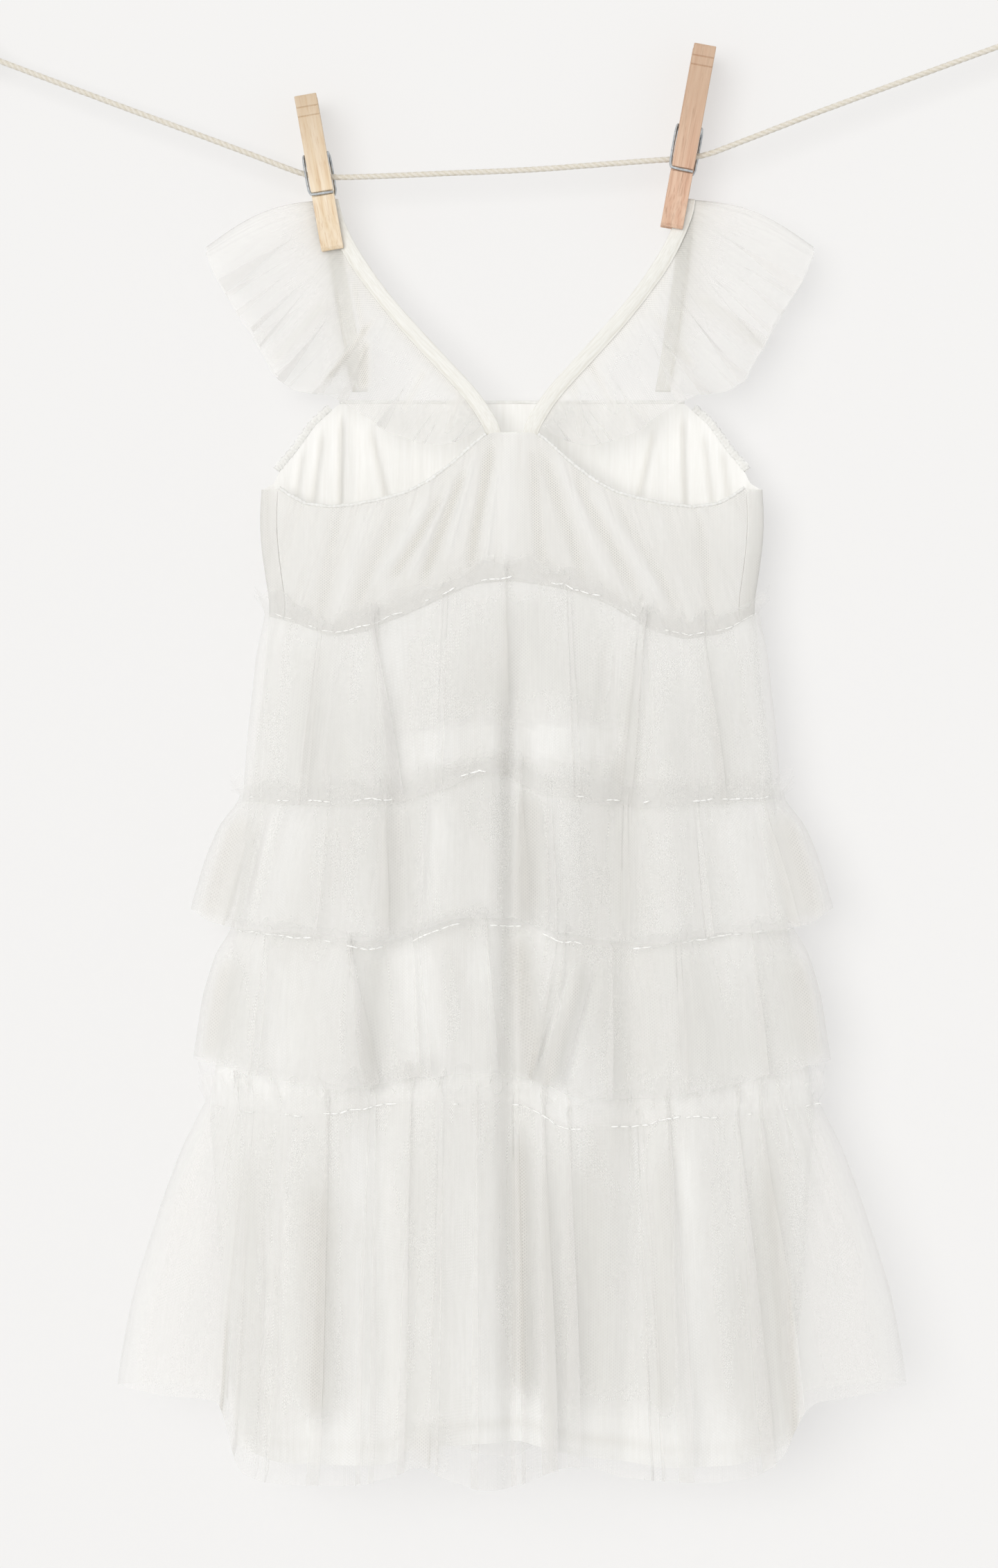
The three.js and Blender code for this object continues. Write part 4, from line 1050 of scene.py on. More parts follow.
def back_bodice_shape(offset, seed, gathered):
    """The back bodice, which reaches round both sides to the seams on the front."""

    def shape(along, down):
        course = (2 * along - 1) * (2 - SIDE_WRAP)
        wrapped = np.abs(course) > 1
        share = np.where(wrapped, np.sign(course) * (2 - np.abs(course)), course)
        side = np.where(wrapped, FRONT, BACK)
        top = np.where(wrapped, UNDERARM + 0.3, softened(BACK_EDGE, np.abs(share) * CHEST_REACH, reach=1.0))
        in_front, behind = (
            line_height(EMPIRE_SEAM, share * EMPIRE_REACH, way, SEAM_FOLLOWS) for way in (FRONT, BACK)
        )
        seam = np.where(wrapped, in_front, behind)
        z = top + down * (seam - 1.5 - top)
        x = share * body_width(z)
        from_top, from_seam = top - z, z - seam
        near = np.exp(-from_top / 6) + np.exp(-from_seam / 9)
        fine = rounded_folds(drift(seed, x / 2.8, z / 40))
        medium = rounded_folds(drift(seed + 1, x / 9, z / 70))
        if gathered:
            ripple = fine * (0.25 + 0.5 * near) + medium * 0.7
            # Painted shade, with closer net, in the valleys of the gathers.
            valley = np.clip(0.55 - 0.35 * medium - 0.25 * fine, 0, 1)
        else:
            folds = creases(ARMHOLE_CREASES, np.abs(x), z)
            ripple = folds * 0.9 - 0.8 * medium * smooth_step((60 - np.abs(x)) / 20)
            # Painted shade: the lining behind the armholes is marked darker all over and darker still in
            # its creases.
            valley = np.clip(0.3 - 0.3 * np.minimum(folds, 0) + 0.1 * fine, 0, 1)
        points = shell(share, side, z, x, offset, ripple, gap=0.0)
        return points, np.stack([x * BODICE_EASE, z], axis=1), {"fold": valley, "edge": 0 * z}

    return shape


def edge_route(rows, side, first, last, lift, sign=1, count=60):
    """A route just above a bodice edge, from one place across to another."""
    share = np.linspace(first, last, count)
    z = softened(rows, np.abs(share) * CHEST_REACH, reach=1.0)
    x = sign * share * body_width(z)
    rim = shell(sign * share, side, z, x, 0.0, 0.0, gap=0.0)
    course = np.gradient(rim, axis=0)
    upward = np.stack([-course[:, 2], 0 * share, course[:, 0]], axis=1)
    upward /= np.linalg.norm(upward, axis=1)[:, None]
    upward *= np.where(upward[:, 2:3] < 0, -1, 1)
    return rim + lift * upward


def piped(angle, run):
    """Radius of the armholes' piping, puckered by its stitches."""
    return 0.8 + 0.16 * drift(41, run / 1.3, 1.4 * np.cos(angle)) + 0.1 * np.sin(run * 3.1)


def bound(angle, run):
    """Radius of the neck's rolled binding."""
    return 0.85 + 0.03 * drift(42, run / 3, 1.2 * np.cos(angle))


def scalloped(angle, run):
    """Radius of the picot elastic: flat, with a small loop every 3.4 mm."""
    wide = 1.5 + 0.6 * np.abs(np.sin(run * math.pi / 3.4)) + 0.1 * drift(43, run / 2, 0 * run)
    thick = 0.75 + 0.2 * np.cos(run * 2 * math.pi / 1.7)
    return 1 / np.sqrt((np.cos(angle) / wide) ** 2 + (np.sin(angle) / thick) ** 2)


# ---- Straps and flutter ruffles ----
STRAP_WIDTH = 7.0
STRAP_HALF_THICK = 0.65
STRAP_CREST = 11  # row of the strap's table at the top of the shoulder
STRAP_FOOT = -121  # height of the strap's lower end
ROW_LENGTH = 26  # gathered net on a row of the strap
RUFFLE_EASE = 1.3
RUFFLE_DEPTH = 70
# Which way each shoulder lies, and how much further out its strap leans at the top.
SHOULDERS = {"left": (-1, 2.4), "right": (1, 0.0)}
# Lines where a ruffle's net lies closer and is painted darker, as painted shade (+), or opener and painted
# lighter (-): both ends' x and z, half width, how much.
RUFFLE_CROWD_AND_PAINTED_SHADE = {
    "left": (
        (-73, -52, -68, -78, 1.6, 0.35), (-68, -78, -68, -102, 2.6, 0.8),
        (-64, -69, -86, -98, 1.5, 0.6), (-75, -84, -73, -98, 2.4, 0.3),
        (-40, -92, -50, -112, 1.6, 0.35), (-24, -104, -30, -122, 1.4, 0.3),
        (-86, -60, -112, -90, 4, 0.2),
    ),
    "right": (
        (66, -66, 84, -92, 2, 0.35), (36, -90, 48, -112, 1.8, 0.3), (84, -56, 116, -84, 4, 0.2),
        (28, -98, 32, -124, 1.6, 0.25),
    ),
}
# Where a ruffle doubles over itself: row along the strap, reach in rows, width in rows, way.
RUFFLE_PLEATS = (
    (1.35, 0.10, 0.16, 1), (2.35, 0.10, 0.18, -1), (3.25, 0.10, 0.14, 1), (4.35, 0.14, 0.34, -1),
    (5.5, 0.12, 0.2, 1), (6.7, 0.12, 0.22, -1), (8, 0.14, 0.24, 1), (13.9, 0.12, 0.2, -1),
    (14.7, 0.12, 0.2, 1), (15.6, 0.12, 0.2, -1), (16.3, 0.08, 0.1, 1),
)


def strap_frame(row):
    """Middle point of the strap at a row of its table, and the way its width runs."""
    rows = [(i, *values) for i, values in enumerate(STRAP)]
    middle = np.stack([softened(rows, row, column, 0.5) for column in (1, 2, 3)], axis=1)
    lean = np.radians(softened(rows, row, 4, 0.5))
    return middle, np.stack([np.cos(lean), 0 * lean, -np.sin(lean)], axis=1)


def on_shoulder(points, end):
    """Puts a shape made for the right shoulder on either one."""
    sign, shift = SHOULDERS[end]
    rise = np.clip((points[:, 2] - STRAP_FOOT) / 100, 0, 1)
    return np.stack([sign * (points[:, 0] + shift * rise), points[:, 1], points[:, 2]], axis=1)


def strap_shape(end):
    """The strap: a folded tube of binding, stitched along its inner edge."""

    def shape(along, down):
        row = along * (len(STRAP) - 1)
        middle, width = strap_frame(row)
        ahead, _ = strap_frame(np.minimum(row + 0.2, len(STRAP) - 1))
        behind, _ = strap_frame(np.maximum(row - 0.2, 0))
        course = ahead - behind
        normal = np.cross(course, width)
        normal /= np.linalg.norm(normal, axis=1)[:, None]
        angle = 2 * math.pi * down
        across = np.sign(np.cos(angle)) * np.abs(np.cos(angle)) ** 0.45
        thick = np.sign(np.sin(angle)) * np.abs(np.sin(angle)) ** 0.6
        half = STRAP_WIDTH / 2 * (1 + 0.03 * drift(5, row * 1.6, 0 * row))
        stitched = np.exp(-(((across * half - half + 1.0) / 0.35) ** 2))
        puckers = 0.08 * drift(6, row * 9, across * 2)
        lift = thick * (STRAP_HALF_THICK + puckers - 0.22 * stitched)
        points = middle + (across * half)[:, None] * width + lift[:, None] * normal
        # Its lower end is tucked behind the bodice.
        points += np.exp(-row / 0.35)[:, None] * np.array([0.0, 1.5, -3.0])
        chart = np.stack([across * half, row * 12], axis=1)
        # Painted shade along the sunk stitch line and at the strap's turned edges.
        fold = 0.5 * stitched + 0.25 * np.clip(np.abs(across) - 0.93, 0, 1) / 0.07
        return on_shoulder(points, end), chart, {"fold": np.clip(fold, 0, 1)}

    return shape


def ruffle_shape(end, seed):
    """The ruffle: one doubled strip, gathered on the strap's outer edge and folded at its free
    edge, so that its rows run out on one layer and back on the other."""
    first, last = RUFFLE_EDGE[0][0], RUFFLE_EDGE[-1][0]

    def shape(along, down):
        row = first + along * (last - first)
        length = row * ROW_LENGTH
        under = down > 0.5
        out = np.where(under, 2 - 2 * down, 2 * down)
        layer = under * 9

        def noise(step, width, below=0.0, sway=0.0):
            return drift(seed + step, length / width + sway, below)

        lift = np.zeros_like(row)
        folded = row.copy()
        for middle, reach, width, turn in RUFFLE_PLEATS:
            legs = (row - middle) / reach
            folded += turn * width * smooth_step(out * 1.2) * zigzag(legs)
            lift += 0.9 * out * zigzag(legs) * turn
        middle, width = strap_frame(row)
        root = middle + (STRAP_WIDTH / 2 - 0.2) * width
        edge = np.stack([softened(RUFFLE_EDGE, folded, i, 0.18) for i in (1, 2, 3)], axis=1)
        run = edge - root
        fine = rounded_folds(noise(layer, 3.2, out * 1.5, 0.5 * noise(2, 14, out * 2)))
        medium = rounded_folds(noise(3 + layer, 10, out * 1.2))
        ripple = fine * (0.6 * np.exp(-out * 5) + 0.04) + medium * (0.35 + 0.6 * out)
        ripple = ripple + 1.8 * noise(4, 22, out * 0.8) * out
        ripple = ripple * smooth_step(out * 12)
        outward = np.where(row < STRAP_CREST, -1.0, 1.0)
        apart = np.where(under, -0.5, 0.5) * smooth_step(out * 8) * smooth_step((1 - out) * 8)
        reach = out * (1 + 0.012 * noise(6, 9) * out)
        x = root[:, 0] + reach * run[:, 0]
        y = root[:, 1] + out**3 * run[:, 1] + outward * (ripple - 0.7 + apart + lift)
        # The net arches over the top of the shoulder.
        arch = 5.5 * np.sin(math.pi * out) * np.exp(-(((row - STRAP_CREST) / 2.2) ** 2))
        z = root[:, 2] + reach * run[:, 2] + arch
        placed = on_shoulder(np.stack([x, y, z], axis=1), end)
        # Painted shade, with closer net, in the ruffle's valleys and next to the strap.
        valley = np.clip(0.5 - 0.35 * medium - 0.1 * fine, 0, 1)
        crowd = 0.08 + 0.5 * np.exp(-out * 6) + 0.2 * valley
        crowd = crowd + creases(RUFFLE_CROWD_AND_PAINTED_SHADE[end], placed[:, 0], placed[:, 2])
        across = out * RUFFLE_DEPTH * np.where(under, -1, 1)
        chart = np.stack([length * RUFFLE_EASE, across], axis=1)
        return placed, chart, {"fold": np.clip(crowd, 0, 1), "edge": 0 * row}

    return shape


# ---- Pegs ----
# Each peg: the place of its jaws' tips, its lean in degrees, and along it from the tips its length,
# its coil and where the wire lies across its leg.
PEG_WIDTH = 10.3
LEG_FACE = 7.4  # from the peg's middle to the outer face of its leg
WIRE_GROOVE = 0.8  # how deep the wire lies in that face
SANDED = 0.38  # how wide the leg's edges are eased
SHARP_EDGE = math.radians(38)
SCORE_DEPTH = 0.4
WIRE_RADIUS = 0.65
COIL_RADIUS = 3.2
COIL_TURNS = 5.5
TURN_STEPS = 24
PEGS = {
    "peg_left": {"foot": (-82.7, -36.8), "tilt": -10.0, "length": 72, "coil": 42, "wire": 26},
    "peg_right": {"foot": (73.6, -26.5), "tilt": 10.4, "length": 85, "coil": 44.5, "wire": 26.6},
}
GRIP_LINES = (5.6, 9.8)  # from the handle's end down to each scored grip line


def peg_place(peg):
    """Turns and moves a peg drawn upright to where it grips the line."""
    foot_x, foot_z = peg["foot"]
    return Matrix.Translation((foot_x * MM, 0, foot_z * MM)) @ Matrix.Rotation(
        math.radians(peg["tilt"]), 4, "Y"
    )


def peg_leg(name, end, material):
    """A peg's leg with its edges eased by the sander and its grip lines scored across."""
    peg = PEGS[name]
    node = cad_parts[name + "_" + end + "_leg"]
    place = peg_place(peg)
    bm = bmesh.new()
    bm.from_mesh(node.data)
    bmesh.ops.remove_doubles(bm, verts=bm.verts, dist=1e-5)
    bmesh.ops.dissolve_limit(bm, angle_limit=math.radians(2), verts=bm.verts, edges=bm.edges)
    up = place.to_3x3() @ Vector((0, 0, 1))
    for below in GRIP_LINES:
        for shift in (-0.4, 0.0, 0.4):
            level = place @ Vector((0, 0, (peg["length"] - below + shift) * MM))
            everything = bm.verts[:] + bm.edges[:] + bm.faces[:]
            bmesh.ops.bisect_plane(bm, geom=everything, plane_co=level, plane_no=up, dist=1e-7)
    back = place.inverted()
    whole = [edge for edge in bm.edges if len(edge.link_faces) == 2]
    bmesh.ops.bevel(
        bm, geom=[edge for edge in whole if edge.calc_face_angle(0) > SHARP_EDGE],
        offset=SANDED * MM, affect="EDGES", segments=2, profile=0.5, material=-1, clamp_overlap=True,
    )
    for vert in bm.verts:
        local = back @ vert.co
        for below in GRIP_LINES:
            at_line = abs(local.z - (peg["length"] - below) * MM) < 0.1 * MM
            if at_line and abs(local.y) > (LEG_FACE - SCORE_DEPTH) * MM:
                local.y -= math.copysign(SCORE_DEPTH * MM, local.y)
                vert.co = place @ local
    mesh = mesh_of(bm, node.name + "_wood")
    return kept(mesh, material, [node.name])


def plain_wire(angle, run):
    """Radius of the drawn wire, the same all round."""
    return np.full_like(angle, WIRE_RADIUS)


def peg_spring(name, material):
    """One wire: across the back leg, up beside it, round the coil and down to the front leg."""
    peg = PEGS[name]
    beside = PEG_WIDTH / 2 + WIRE_RADIUS + SEAM_GAP
    on_face = LEG_FACE - WIRE_GROOVE + WIRE_RADIUS + SEAM_GAP
    arm = [
        (-PEG_WIDTH / 2 + 0.3, on_face - 0.5, peg["wire"] - 0.1),
        (-PEG_WIDTH / 2 + 0.8, on_face, peg["wire"]),
        (PEG_WIDTH / 2 - 1, on_face, peg["wire"]),
        (beside - 0.45, on_face - 0.1, peg["wire"] + 0.15),
        (beside, on_face - 0.8, peg["wire"] + 0.9),
        (beside, (on_face + COIL_RADIUS) / 2, (peg["wire"] + peg["coil"]) / 2),
        (beside, COIL_RADIUS + 0.15, peg["coil"] - 1.6),
    ]
    count = int(COIL_TURNS * TURN_STEPS)
    coil = []
    for i in range(count + 1):
        angle = 2 * math.pi * i / TURN_STEPS
        y, z = COIL_RADIUS * math.cos(angle), COIL_RADIUS * math.sin(angle)
        coil.append((beside - 2 * beside * i / count, y, peg["coil"] + z))
    other = [(-x, -y, z) for x, y, z in reversed(arm)]
    place = peg_place(peg)
    route = [place @ (Vector(point) * MM) / MM for point in arm + coil + other]
    mesh = rope_mesh(name + "_spring_wire", route, plain_wire, sides=10, step=0.6)
    return kept(mesh, material, [name + "_spring"])


# ---- Clothesline ----
LINE_RADIUS = 1.4
LAY_LENGTH = 9.5  # one full turn of a strand
KNOT_RADIUS = 1.9
KNOT_TURNS = 2.5
KNOT_STEPS = 60
LOOP_STEPS = 48
LINES = {"line_left": LINE_LEFT, "line_middle": LINE_MIDDLE, "line_right": LINE_RIGHT}


def laid_strands(angle, run):
    """Radius of a cord of three strands that turn along it, with uneven yarn."""
    strands = np.abs(np.cos(1.5 * (angle - 2 * math.pi * run / LAY_LENGTH)))
    uneven = 0.035 * drift(31, run / 2.3, 1.6 * np.cos(angle))
    return LINE_RADIUS * (0.76 + 0.22 * strands + uneven)


def line_cord(name, material):
    """One stretch of the line, with its course and length."""
    route = [(x, 0.0, z) for x, z in LINES[name]]
    mesh = rope_mesh(name + "_cord", route, laid_strands, sides=18, step=0.7)
    piece = kept(mesh, material, [name])
    path, _ = evenly(route, 3.0)
    length = float(np.linalg.norm(np.diff(path, axis=0), axis=1).sum())
    return piece, path * MM, length * MM


def line_end(end, material):
    """The knot and the small loop in which an end of the line is tied."""
    route = LINES["line_" + end]
    (last_x, last_z), (next_x, next_z) = route[-1], route[-2]
    turn = Matrix.Rotation(-math.atan2(last_z - next_z, last_x - next_x), 4, "Y")
    place = Matrix.Translation((last_x, 0, last_z)) @ turn
    knot = []
    for i in range(KNOT_STEPS + 1):
        angle = 2 * math.pi * KNOT_TURNS * i / KNOT_STEPS
        y, z = KNOT_RADIUS * math.cos(angle), KNOT_RADIUS * math.sin(angle)
        knot.append((KNOT_RADIUS + 4.4 * i / KNOT_STEPS, y, z))
    loop = []
    for i in range(LOOP_STEPS + 1):
        angle = math.radians(-158 + 316 * i / LOOP_STEPS)
        swell = 1 + 0.1 * math.cos(angle)
        loop.append((15.6 + 7.1 * swell * math.cos(angle), 0.0, 6.2 * swell * math.sin(angle)))
    made = []
    for part, course in (("knot", knot), ("loop", [(6.9, 0.0, -0.9), *loop, (6.9, 0.0, 0.9)])):
        placed = [place @ Vector(point) for point in course]
        node = "line_" + part + "_" + end
        mesh = rope_mesh(node + "_cord", placed, laid_strands, sides=12, step=0.7)
        made.append(kept(mesh, material, [node]))
    return made


# ---- What a user may change ----
def size_prop(name, text, default, low, high, unit="NONE"):
    return bpy.props.FloatProperty(
        name=name, description=text, default=default, min=low, max=high, unit=unit
    )


def colour_prop(name, text, hex_text):
    return bpy.props.FloatVectorProperty(
        name=name, description=text, default=colour(hex_text), size=4, min=0, max=1, subtype="COLOR"
    )


class DressLook(bpy.types.PropertyGroup):
    """The cloth of the dress."""

    columns: bpy.props.IntProperty(
        name="Net columns", description="Faces across each half tier", default=420, min=60, max=600
    )
    net_pitch: size_prop("Net pitch", "Hole to hole, in millimetres, drawn a little coarse", 1.5, 0.8, 4)
    net_contrast: size_prop("Net contrast", "How far holes and threads differ in cover", 0.22, 0, 0.5)
    rib_width: size_prop("Rib width", "Width of the fine gathered ribs, in millimetres", 1.9, 0.5, 8)
    net_light: colour_prop("Net", "Tulle where it lies open", "#F2F1EF")
    # Painted shade: the net's colour in its folds and valleys, and where its threads lie closer.
    net_painted_shade: colour_prop("Net in folds", "Tulle where threads crowd", "#E4E2DD")
    lining_light: colour_prop("Lining", "Cotton lawn", "#FDFDFC")
    # Painted shade: the lawn's colour in its folds and creases.
    lining_painted_shade: colour_prop("Lining in folds", "Cotton lawn in its folds", "#DFDDD7")
    binding_light: colour_prop("Binding", "Sateen straps and edgings", "#E2E1DC")
    # Painted shade: the sateen's colour along its stitch line and turned edges.
    binding_painted_shade: colour_prop("Binding in folds", "Sateen along stitches and folds", "#CBC7BC")
    thread: colour_prop("Thread", "Gathering thread", "#FCFCFA")


class LineLook(bpy.types.PropertyGroup):
    """The pegs and the clothesline."""

    birch_light: colour_prop("Birch", "Left peg", "#E6D6BE")
    birch_middle: colour_prop("Birch band", "Left peg's slower grain", "#DCC6A6")
    birch_dark: colour_prop("Birch grain", "Left peg's grain lines", "#B98F63")
    beech_light: colour_prop("Beech", "Right peg", "#D9B9A0")
    beech_middle: colour_prop("Beech band", "Right peg's slower grain", "#CBA288")
    beech_dark: colour_prop("Beech grain", "Right peg's rays", "#8C6248")
    cord_light: colour_prop("Cord", "Cotton line", "#EAE6E0")
    # Painted shade: the cord's colour between its strands.
    cord_painted_shade: colour_prop("Cord between strands", "Cotton line's hollows", "#C5BBA4")


class StageLook(bpy.types.PropertyGroup):
    """Backdrop, light and camera."""

    wall: colour_prop("Backdrop", "Painted board behind and below", "#A9A8A7")
    wall_glow: size_prop("Backdrop glow", "Light that comes through the board from behind", 0.45, 0, 2)
    room_glow: size_prop("Room glow", "Light that comes from the far walls and the floor", 0.9, 0, 2)
    air: size_prop("Room light", "Strength of the even light of the room", 0.72, 0, 3)
    key: size_prop("Window light", "Strength of the wide soft light", 1.5, 0, 20)
    fill: size_prop("Light from behind", "Strength of the light that the wall throws back", 0.9, 0, 20)
    distance: size_prop("Camera distance", "From the camera to the dress", 2.2, 0.5, 10, "LENGTH")


FRAME_MIDDLE = (-6.0, -283.15)  # what the camera looks at, across and up
FRAME_HEIGHT = 724.2  # how much of the dress's plane the camera takes in, top to bottom
FILM = 36.0
# Faces along and down a piece.
LINING_GRID, STRAP_GRID, RUFFLE_GRID = (180, 90), (220, 32), (420, 64)


class DRESS_OT_camera(bpy.types.Operator):
    """Sets the camera square to the front of the dress"""

    bl_idname = "dress.camera"
    bl_label = "Camera"

    def execute(self, context):
        look = context.scene.stage_look
        data = bpy.data.cameras.new("camera")
        data.sensor_width = FILM
        data.lens = FILM * look.distance / (FRAME_HEIGHT * MM)
        camera = bpy.data.objects.new("camera", data)
        context.scene.collection.objects.link(camera)
        across, up = FRAME_MIDDLE
        camera.location = (across * MM, -look.distance, up * MM)
        camera.rotation_euler = (math.radians(90), 0, 0)
        context.scene.camera = camera
        return {"FINISHED"}


class DRESS_OT_line(bpy.types.Operator):
    """Lays the three stretches of the clothesline with the knots and loops at its ends"""

    bl_idname = "dress.line"
    bl_label = "Clothesline"

    def execute(self, context):
        look = context.scene.line_look
        cotton = finish_of("cord_cotton", laid_cotton, tuple(look.cord_light), tuple(look.cord_painted_shade))
        ends = {end: line_end(end, cotton) for end in ("left", "right")}
        for name in LINES:
            piece, path, length = line_cord(name, cotton)
        return {"FINISHED"}


class DRESS_OT_lining(bpy.types.Operator):
    """Makes the two halves of the skirt's lining"""

    bl_idname = "dress.lining"
    bl_label = "Lining"

    def execute(self, context):
        look = context.scene.dress_look
        for number, (end, side) in enumerate(SIDES.items()):
            mesh = grid("lining_" + end + "_cloth", *LINING_GRID, lining_shape(side, 600 + number))
            piece = kept(mesh, lining_for(look), ["lining_" + end])
        return {"FINISHED"}


class DRESS_OT_bodice(bpy.types.Operator):
    """Makes the front and back bodice, each as a lining with gathered net over it"""

    bl_idname = "dress.bodice"
    bl_label = "Bodice"

    def execute(self, context):
        look = context.scene.dress_look
        net, lawn = fine_net_for(look), lining_for(look)
        # Name, faces along and down, shape, cloth and node of each layer.
        plans = (
            ("front_bodice_cloth", 200, 30, bodice_shape(-0.7, 700, False), lawn, "front_bodice"),
            ("front_bodice_net", 420, 60, bodice_shape(0.5, 710, True), net, "front_bodice"),
            ("back_bodice_cloth", 300, 44, back_bodice_shape(-0.7, 720, False), lawn, "back_bodice"),
            ("back_bodice_net", 420, 50, back_bodice_shape(0.5, 730, True), net, "back_bodice"),
        )
        for name, columns, rows, shape, material, node in plans:
            mesh = grid(name, columns, rows, shape)
            piece = kept(mesh, material, [node])
        return {"FINISHED"}


class DRESS_OT_edgings(bpy.types.Operator):
    """Runs the rolled piping, the armhole elastic and the neck binding along the bodice's edges"""

    bl_idname = "dress.edgings"
    bl_label = "Edgings"

    def execute(self, context):
        look = context.scene.dress_look
        for end, (sign, _) in SHOULDERS.items():
            route = edge_route(CHEST_EDGE, FRONT, 0.10, SIDE_SEAM, 0.7, sign)
            mesh = rope_mesh("armhole_piping_" + end + "_roll", route, piped, sides=10, step=0.5)
            kept(mesh, lining_for(look), ["armhole_piping_" + end])
            route = edge_route(BACK_EDGE, BACK, 0.72, SIDE_SEAM, 1.6, sign)
            mesh = rope_mesh("armhole_elastic_" + end + "_picot", route, scalloped, sides=12, step=0.4)
            kept(mesh, lining_for(look), ["armhole_elastic_" + end])
        route = edge_route(BACK_EDGE, BACK, -0.69, 0.69, 0.8, 1, 120)
        mesh = rope_mesh("back_neck_roll", route, bound, sides=10, step=0.8)
        kept(mesh, lining_for(look), ["back_neck_binding"])
        return {"FINISHED"}


class DRESS_OT_shoulders(bpy.types.Operator):
    """Makes the folded straps and the flutter ruffles gathered on them"""

    bl_idname = "dress.shoulders"
    bl_label = "Straps and ruffles"

    def execute(self, context):
        look = context.scene.dress_look
        for number, end in enumerate(SHOULDERS):
            mesh = grid("strap_" + end + "_binding", *STRAP_GRID, strap_shape(end), joined=True)
            kept(mesh, binding_for(look), ["strap_" + end])
            shape = ruffle_shape(end, 800 + 30 * number)
            mesh = grid("ruffle_" + end + "_net", *RUFFLE_GRID, shape)
            piece = kept(mesh, net_for(look), ["flutter_ruffle_" + end])
        return {"FINISHED"}


class DRESS_OT_tiers(bpy.types.Operator):
    """Makes the four gathered tiers, front and back"""

    bl_idname = "dress.tiers"
    bl_label = "Tiers"

    def execute(self, context):
        look = context.scene.dress_look
        for name, tier in TIERS.items():
            for number, (end, side) in enumerate(SIDES.items()):
                shape = tier_shape(name, side, 100 * int(name[-1]) + 40 * number)
                mesh = grid(name + "_net_" + end, look.columns, 2 * tier["rows"], shape)
                piece = kept(mesh, net_for(look), [name + "_" + end])
        return {"FINISHED"}


class DRESS_OT_stitches(bpy.types.Operator):
    """Sews the gathering thread along the seams of the tiers"""

    bl_idname = "dress.stitches"
    bl_label = "Gathering stitches"

    def execute(self, context):
        look = context.scene.dress_look
        # Name, seam, the hem that hides it, how far out it lies, half width, seed.
        rows = (
            ("stitches_empire_seam", EMPIRE_SEAM, None, 2.9, 111, 901),
            ("stitches_second_seam", SECOND_SEAM, None, 7.9, 122, 902),
            ("stitches_third_seam", THIRD_SEAM, SECOND_HEM, 9.5, 127, 903),
            ("stitches_fourth_seam", FOURTH_SEAM, THIRD_HEM, 3.4, 138, 904),
        )
        for name, line, hidden_by, stand_off, reach, seed in rows:
            stitch_row(name, line, hidden_by, stand_off, reach, seed, look)
        return {"FINISHED"}


class DRESS_OT_pegs(bpy.types.Operator):
    """Eases the wooden legs of the pegs and winds their springs"""

    bl_idname = "dress.pegs"
    bl_label = "Pegs"

    def execute(self, context):
        look = context.scene.line_look
        woods = {
            "peg_left": ("birch_planed", look.birch_light, look.birch_middle, look.birch_dark),
            "peg_right": ("beech_planed", look.beech_light, look.beech_middle, look.beech_dark),
        }
        wire = finish_of("galvanised_steel_wire", zinc_wire)
        for seed, name in enumerate(PEGS):
            title, *shades = woods[name]
            tilt = PEGS[name]["tilt"]
            wood = finish_of(title, peg_wood, *(tuple(shade) for shade in shades), tilt, 3.0 + 5 * seed)
            for end in ("front", "back"):
                peg_leg(name, end, wood)
            peg_spring(name, wire)
        return {"FINISHED"}


# ---- The stage ----
# The backdrop's profile from its top to the floor: y and z.
BACKDROP = ((-8, 600), (17, 80), (52, -645), (60, -800), (60, -1000))
ROOM_HALF = 30000
FLOOR = -1000
# Dark under its own glow, so that no side of the room is brighter than the next.
ROOM_PAINT = (0.03, 0.03, 0.03, 1.0)
# Where each light comes from, in metres, and the point that both are aimed at.
WINDOW, WALL_LIGHT = (-0.7, -2.0, 0.0), (0.4, 2.0, 0.3)
AIM = Vector((0, 0, -0.3))
LIGHT_SPREAD = math.radians(38)


def backdrop_board(material):
    """A pale board close behind the dress, as wide as the room."""
    bm = bmesh.new()
    y, z = BACKDROP[0]
    ends = [bm.verts.new((x * MM, y * MM, z * MM)) for x in (-ROOM_HALF, ROOM_HALF)]
    edge = bm.edges.new(ends)
    for (y0, z0), (y1, z1) in itertools.pairwise(BACKDROP):
        made = bmesh.ops.extrude_edge_only(bm, edges=[edge])["geom"]
        verts = [item for item in made if isinstance(item, bmesh.types.BMVert)]
        edge = next(item for item in made if isinstance(item, bmesh.types.BMEdge))
        bmesh.ops.translate(bm, vec=(0, (y1 - y0) * MM, (z1 - z0) * MM), verts=verts)
    bmesh.ops.recalc_face_normals(bm, faces=bm.faces)
    if max(bm.faces, key=lambda face: face.calc_center_median().z).normal.y > 0:
        bmesh.ops.reverse_faces(bm, faces=bm.faces)
    staged("backdrop", bm, material)


def room_walls(material):
    """The floor and the far walls round the backdrop, painted on the inside."""
    bm = bmesh.new()
    middle = Matrix.Translation((0, 0, (ROOM_HALF + FLOOR) * MM))
    bmesh.ops.create_cube(bm, size=2 * ROOM_HALF * MM, matrix=middle)
    bmesh.ops.reverse_faces(bm, faces=bm.faces)
    staged("room_walls", bm, material)


def staged(name, bm, material):
    """Puts a stage piece in the scene; the light passes through it."""
    piece = in_scene(mesh_of(bm, name), material)
    piece.visible_shadow = False
    piece.visible_diffuse = False


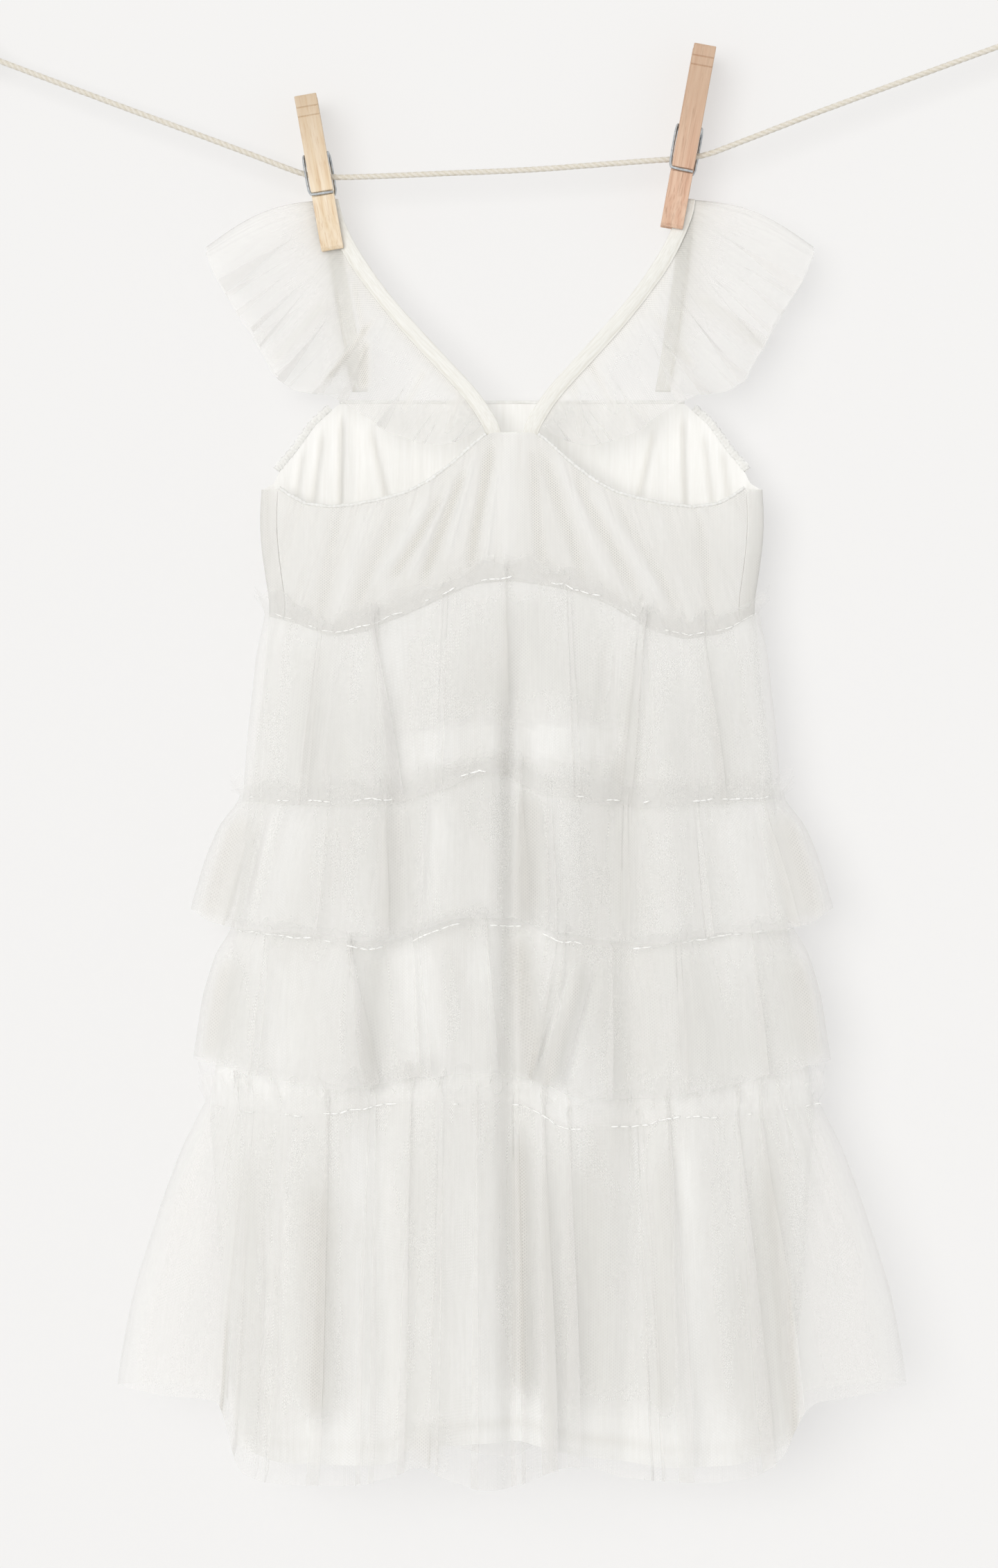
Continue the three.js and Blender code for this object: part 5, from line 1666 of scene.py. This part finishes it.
class DRESS_OT_stage(bpy.types.Operator):
    """Sets the pale backdrop close behind the dress, the room round it and the soft light"""

    bl_idname = "dress.stage"
    bl_label = "Stage"

    def execute(self, context):
        look = context.scene.stage_look
        backdrop_board(painted_board("backdrop_emulsion_board", tuple(look.wall), look.wall_glow))
        room_walls(painted_board("room_emulsion_plaster", ROOM_PAINT, look.room_glow))
        world = bpy.data.worlds.new("room")
        context.scene.world = world
        world.use_nodes = True
        air = world.node_tree.nodes["Background"]
        air.inputs["Color"].default_value = (1.0, 1.0, 0.995, 1.0)
        air.inputs["Strength"].default_value = look.air
        for name, strength, place in (
            ("window", look.key, WINDOW), ("wall_light", look.fill, WALL_LIGHT)
        ):
            data = bpy.data.lights.new(name, "SUN")
            data.angle = LIGHT_SPREAD
            data.energy = strength
            data.color = (1.0, 0.995, 0.985)
            lamp = bpy.data.objects.new(name, data)
            lamp.location = place
            lamp.rotation_euler = (AIM - lamp.location).to_track_quat("-Z", "Y").to_euler()
            context.scene.collection.objects.link(lamp)
        context.scene.view_settings.view_transform = "Standard"
        context.scene.cycles.transparent_max_bounces = 32
        return {"FINISHED"}


STEPS = (
    DRESS_OT_camera,
    DRESS_OT_line,
    DRESS_OT_lining,
    DRESS_OT_bodice,
    DRESS_OT_edgings,
    DRESS_OT_shoulders,
    DRESS_OT_tiers,
    DRESS_OT_stitches,
    DRESS_OT_pegs,
    DRESS_OT_stage,
)


GROUPS = {"dress_look": DressLook, "line_look": LineLook, "stage_look": StageLook}


class DRESS_PT_sidebar(bpy.types.Panel):
    """The dress's sizes, colours and steps"""

    bl_idname = "DRESS_PT_sidebar"
    bl_label = "Tiered dress"
    bl_space_type = "VIEW_3D"
    bl_region_type = "UI"
    bl_category = "Dress"

    def draw(self, context):
        for name, group in GROUPS.items():
            box = self.layout.box()
            for prop in group.__annotations__:
                box.prop(getattr(context.scene, name), prop)
        for step in STEPS:
            self.layout.operator(step.bl_idname)


CLASSES = (*GROUPS.values(), *STEPS, DRESS_PT_sidebar)


def register():
    for item in CLASSES:
        bpy.utils.register_class(item)
    for name, group in GROUPS.items():
        setattr(bpy.types.Scene, name, bpy.props.PointerProperty(type=group))


def unregister():
    for name in GROUPS:
        delattr(bpy.types.Scene, name)
    for item in reversed(CLASSES):
        bpy.utils.unregister_class(item)


def main():
    register()
    for step in STEPS:
        group, name = step.bl_idname.split(".")
        getattr(getattr(bpy.ops, group), name)()


if __name__ == "__main__":
    main()
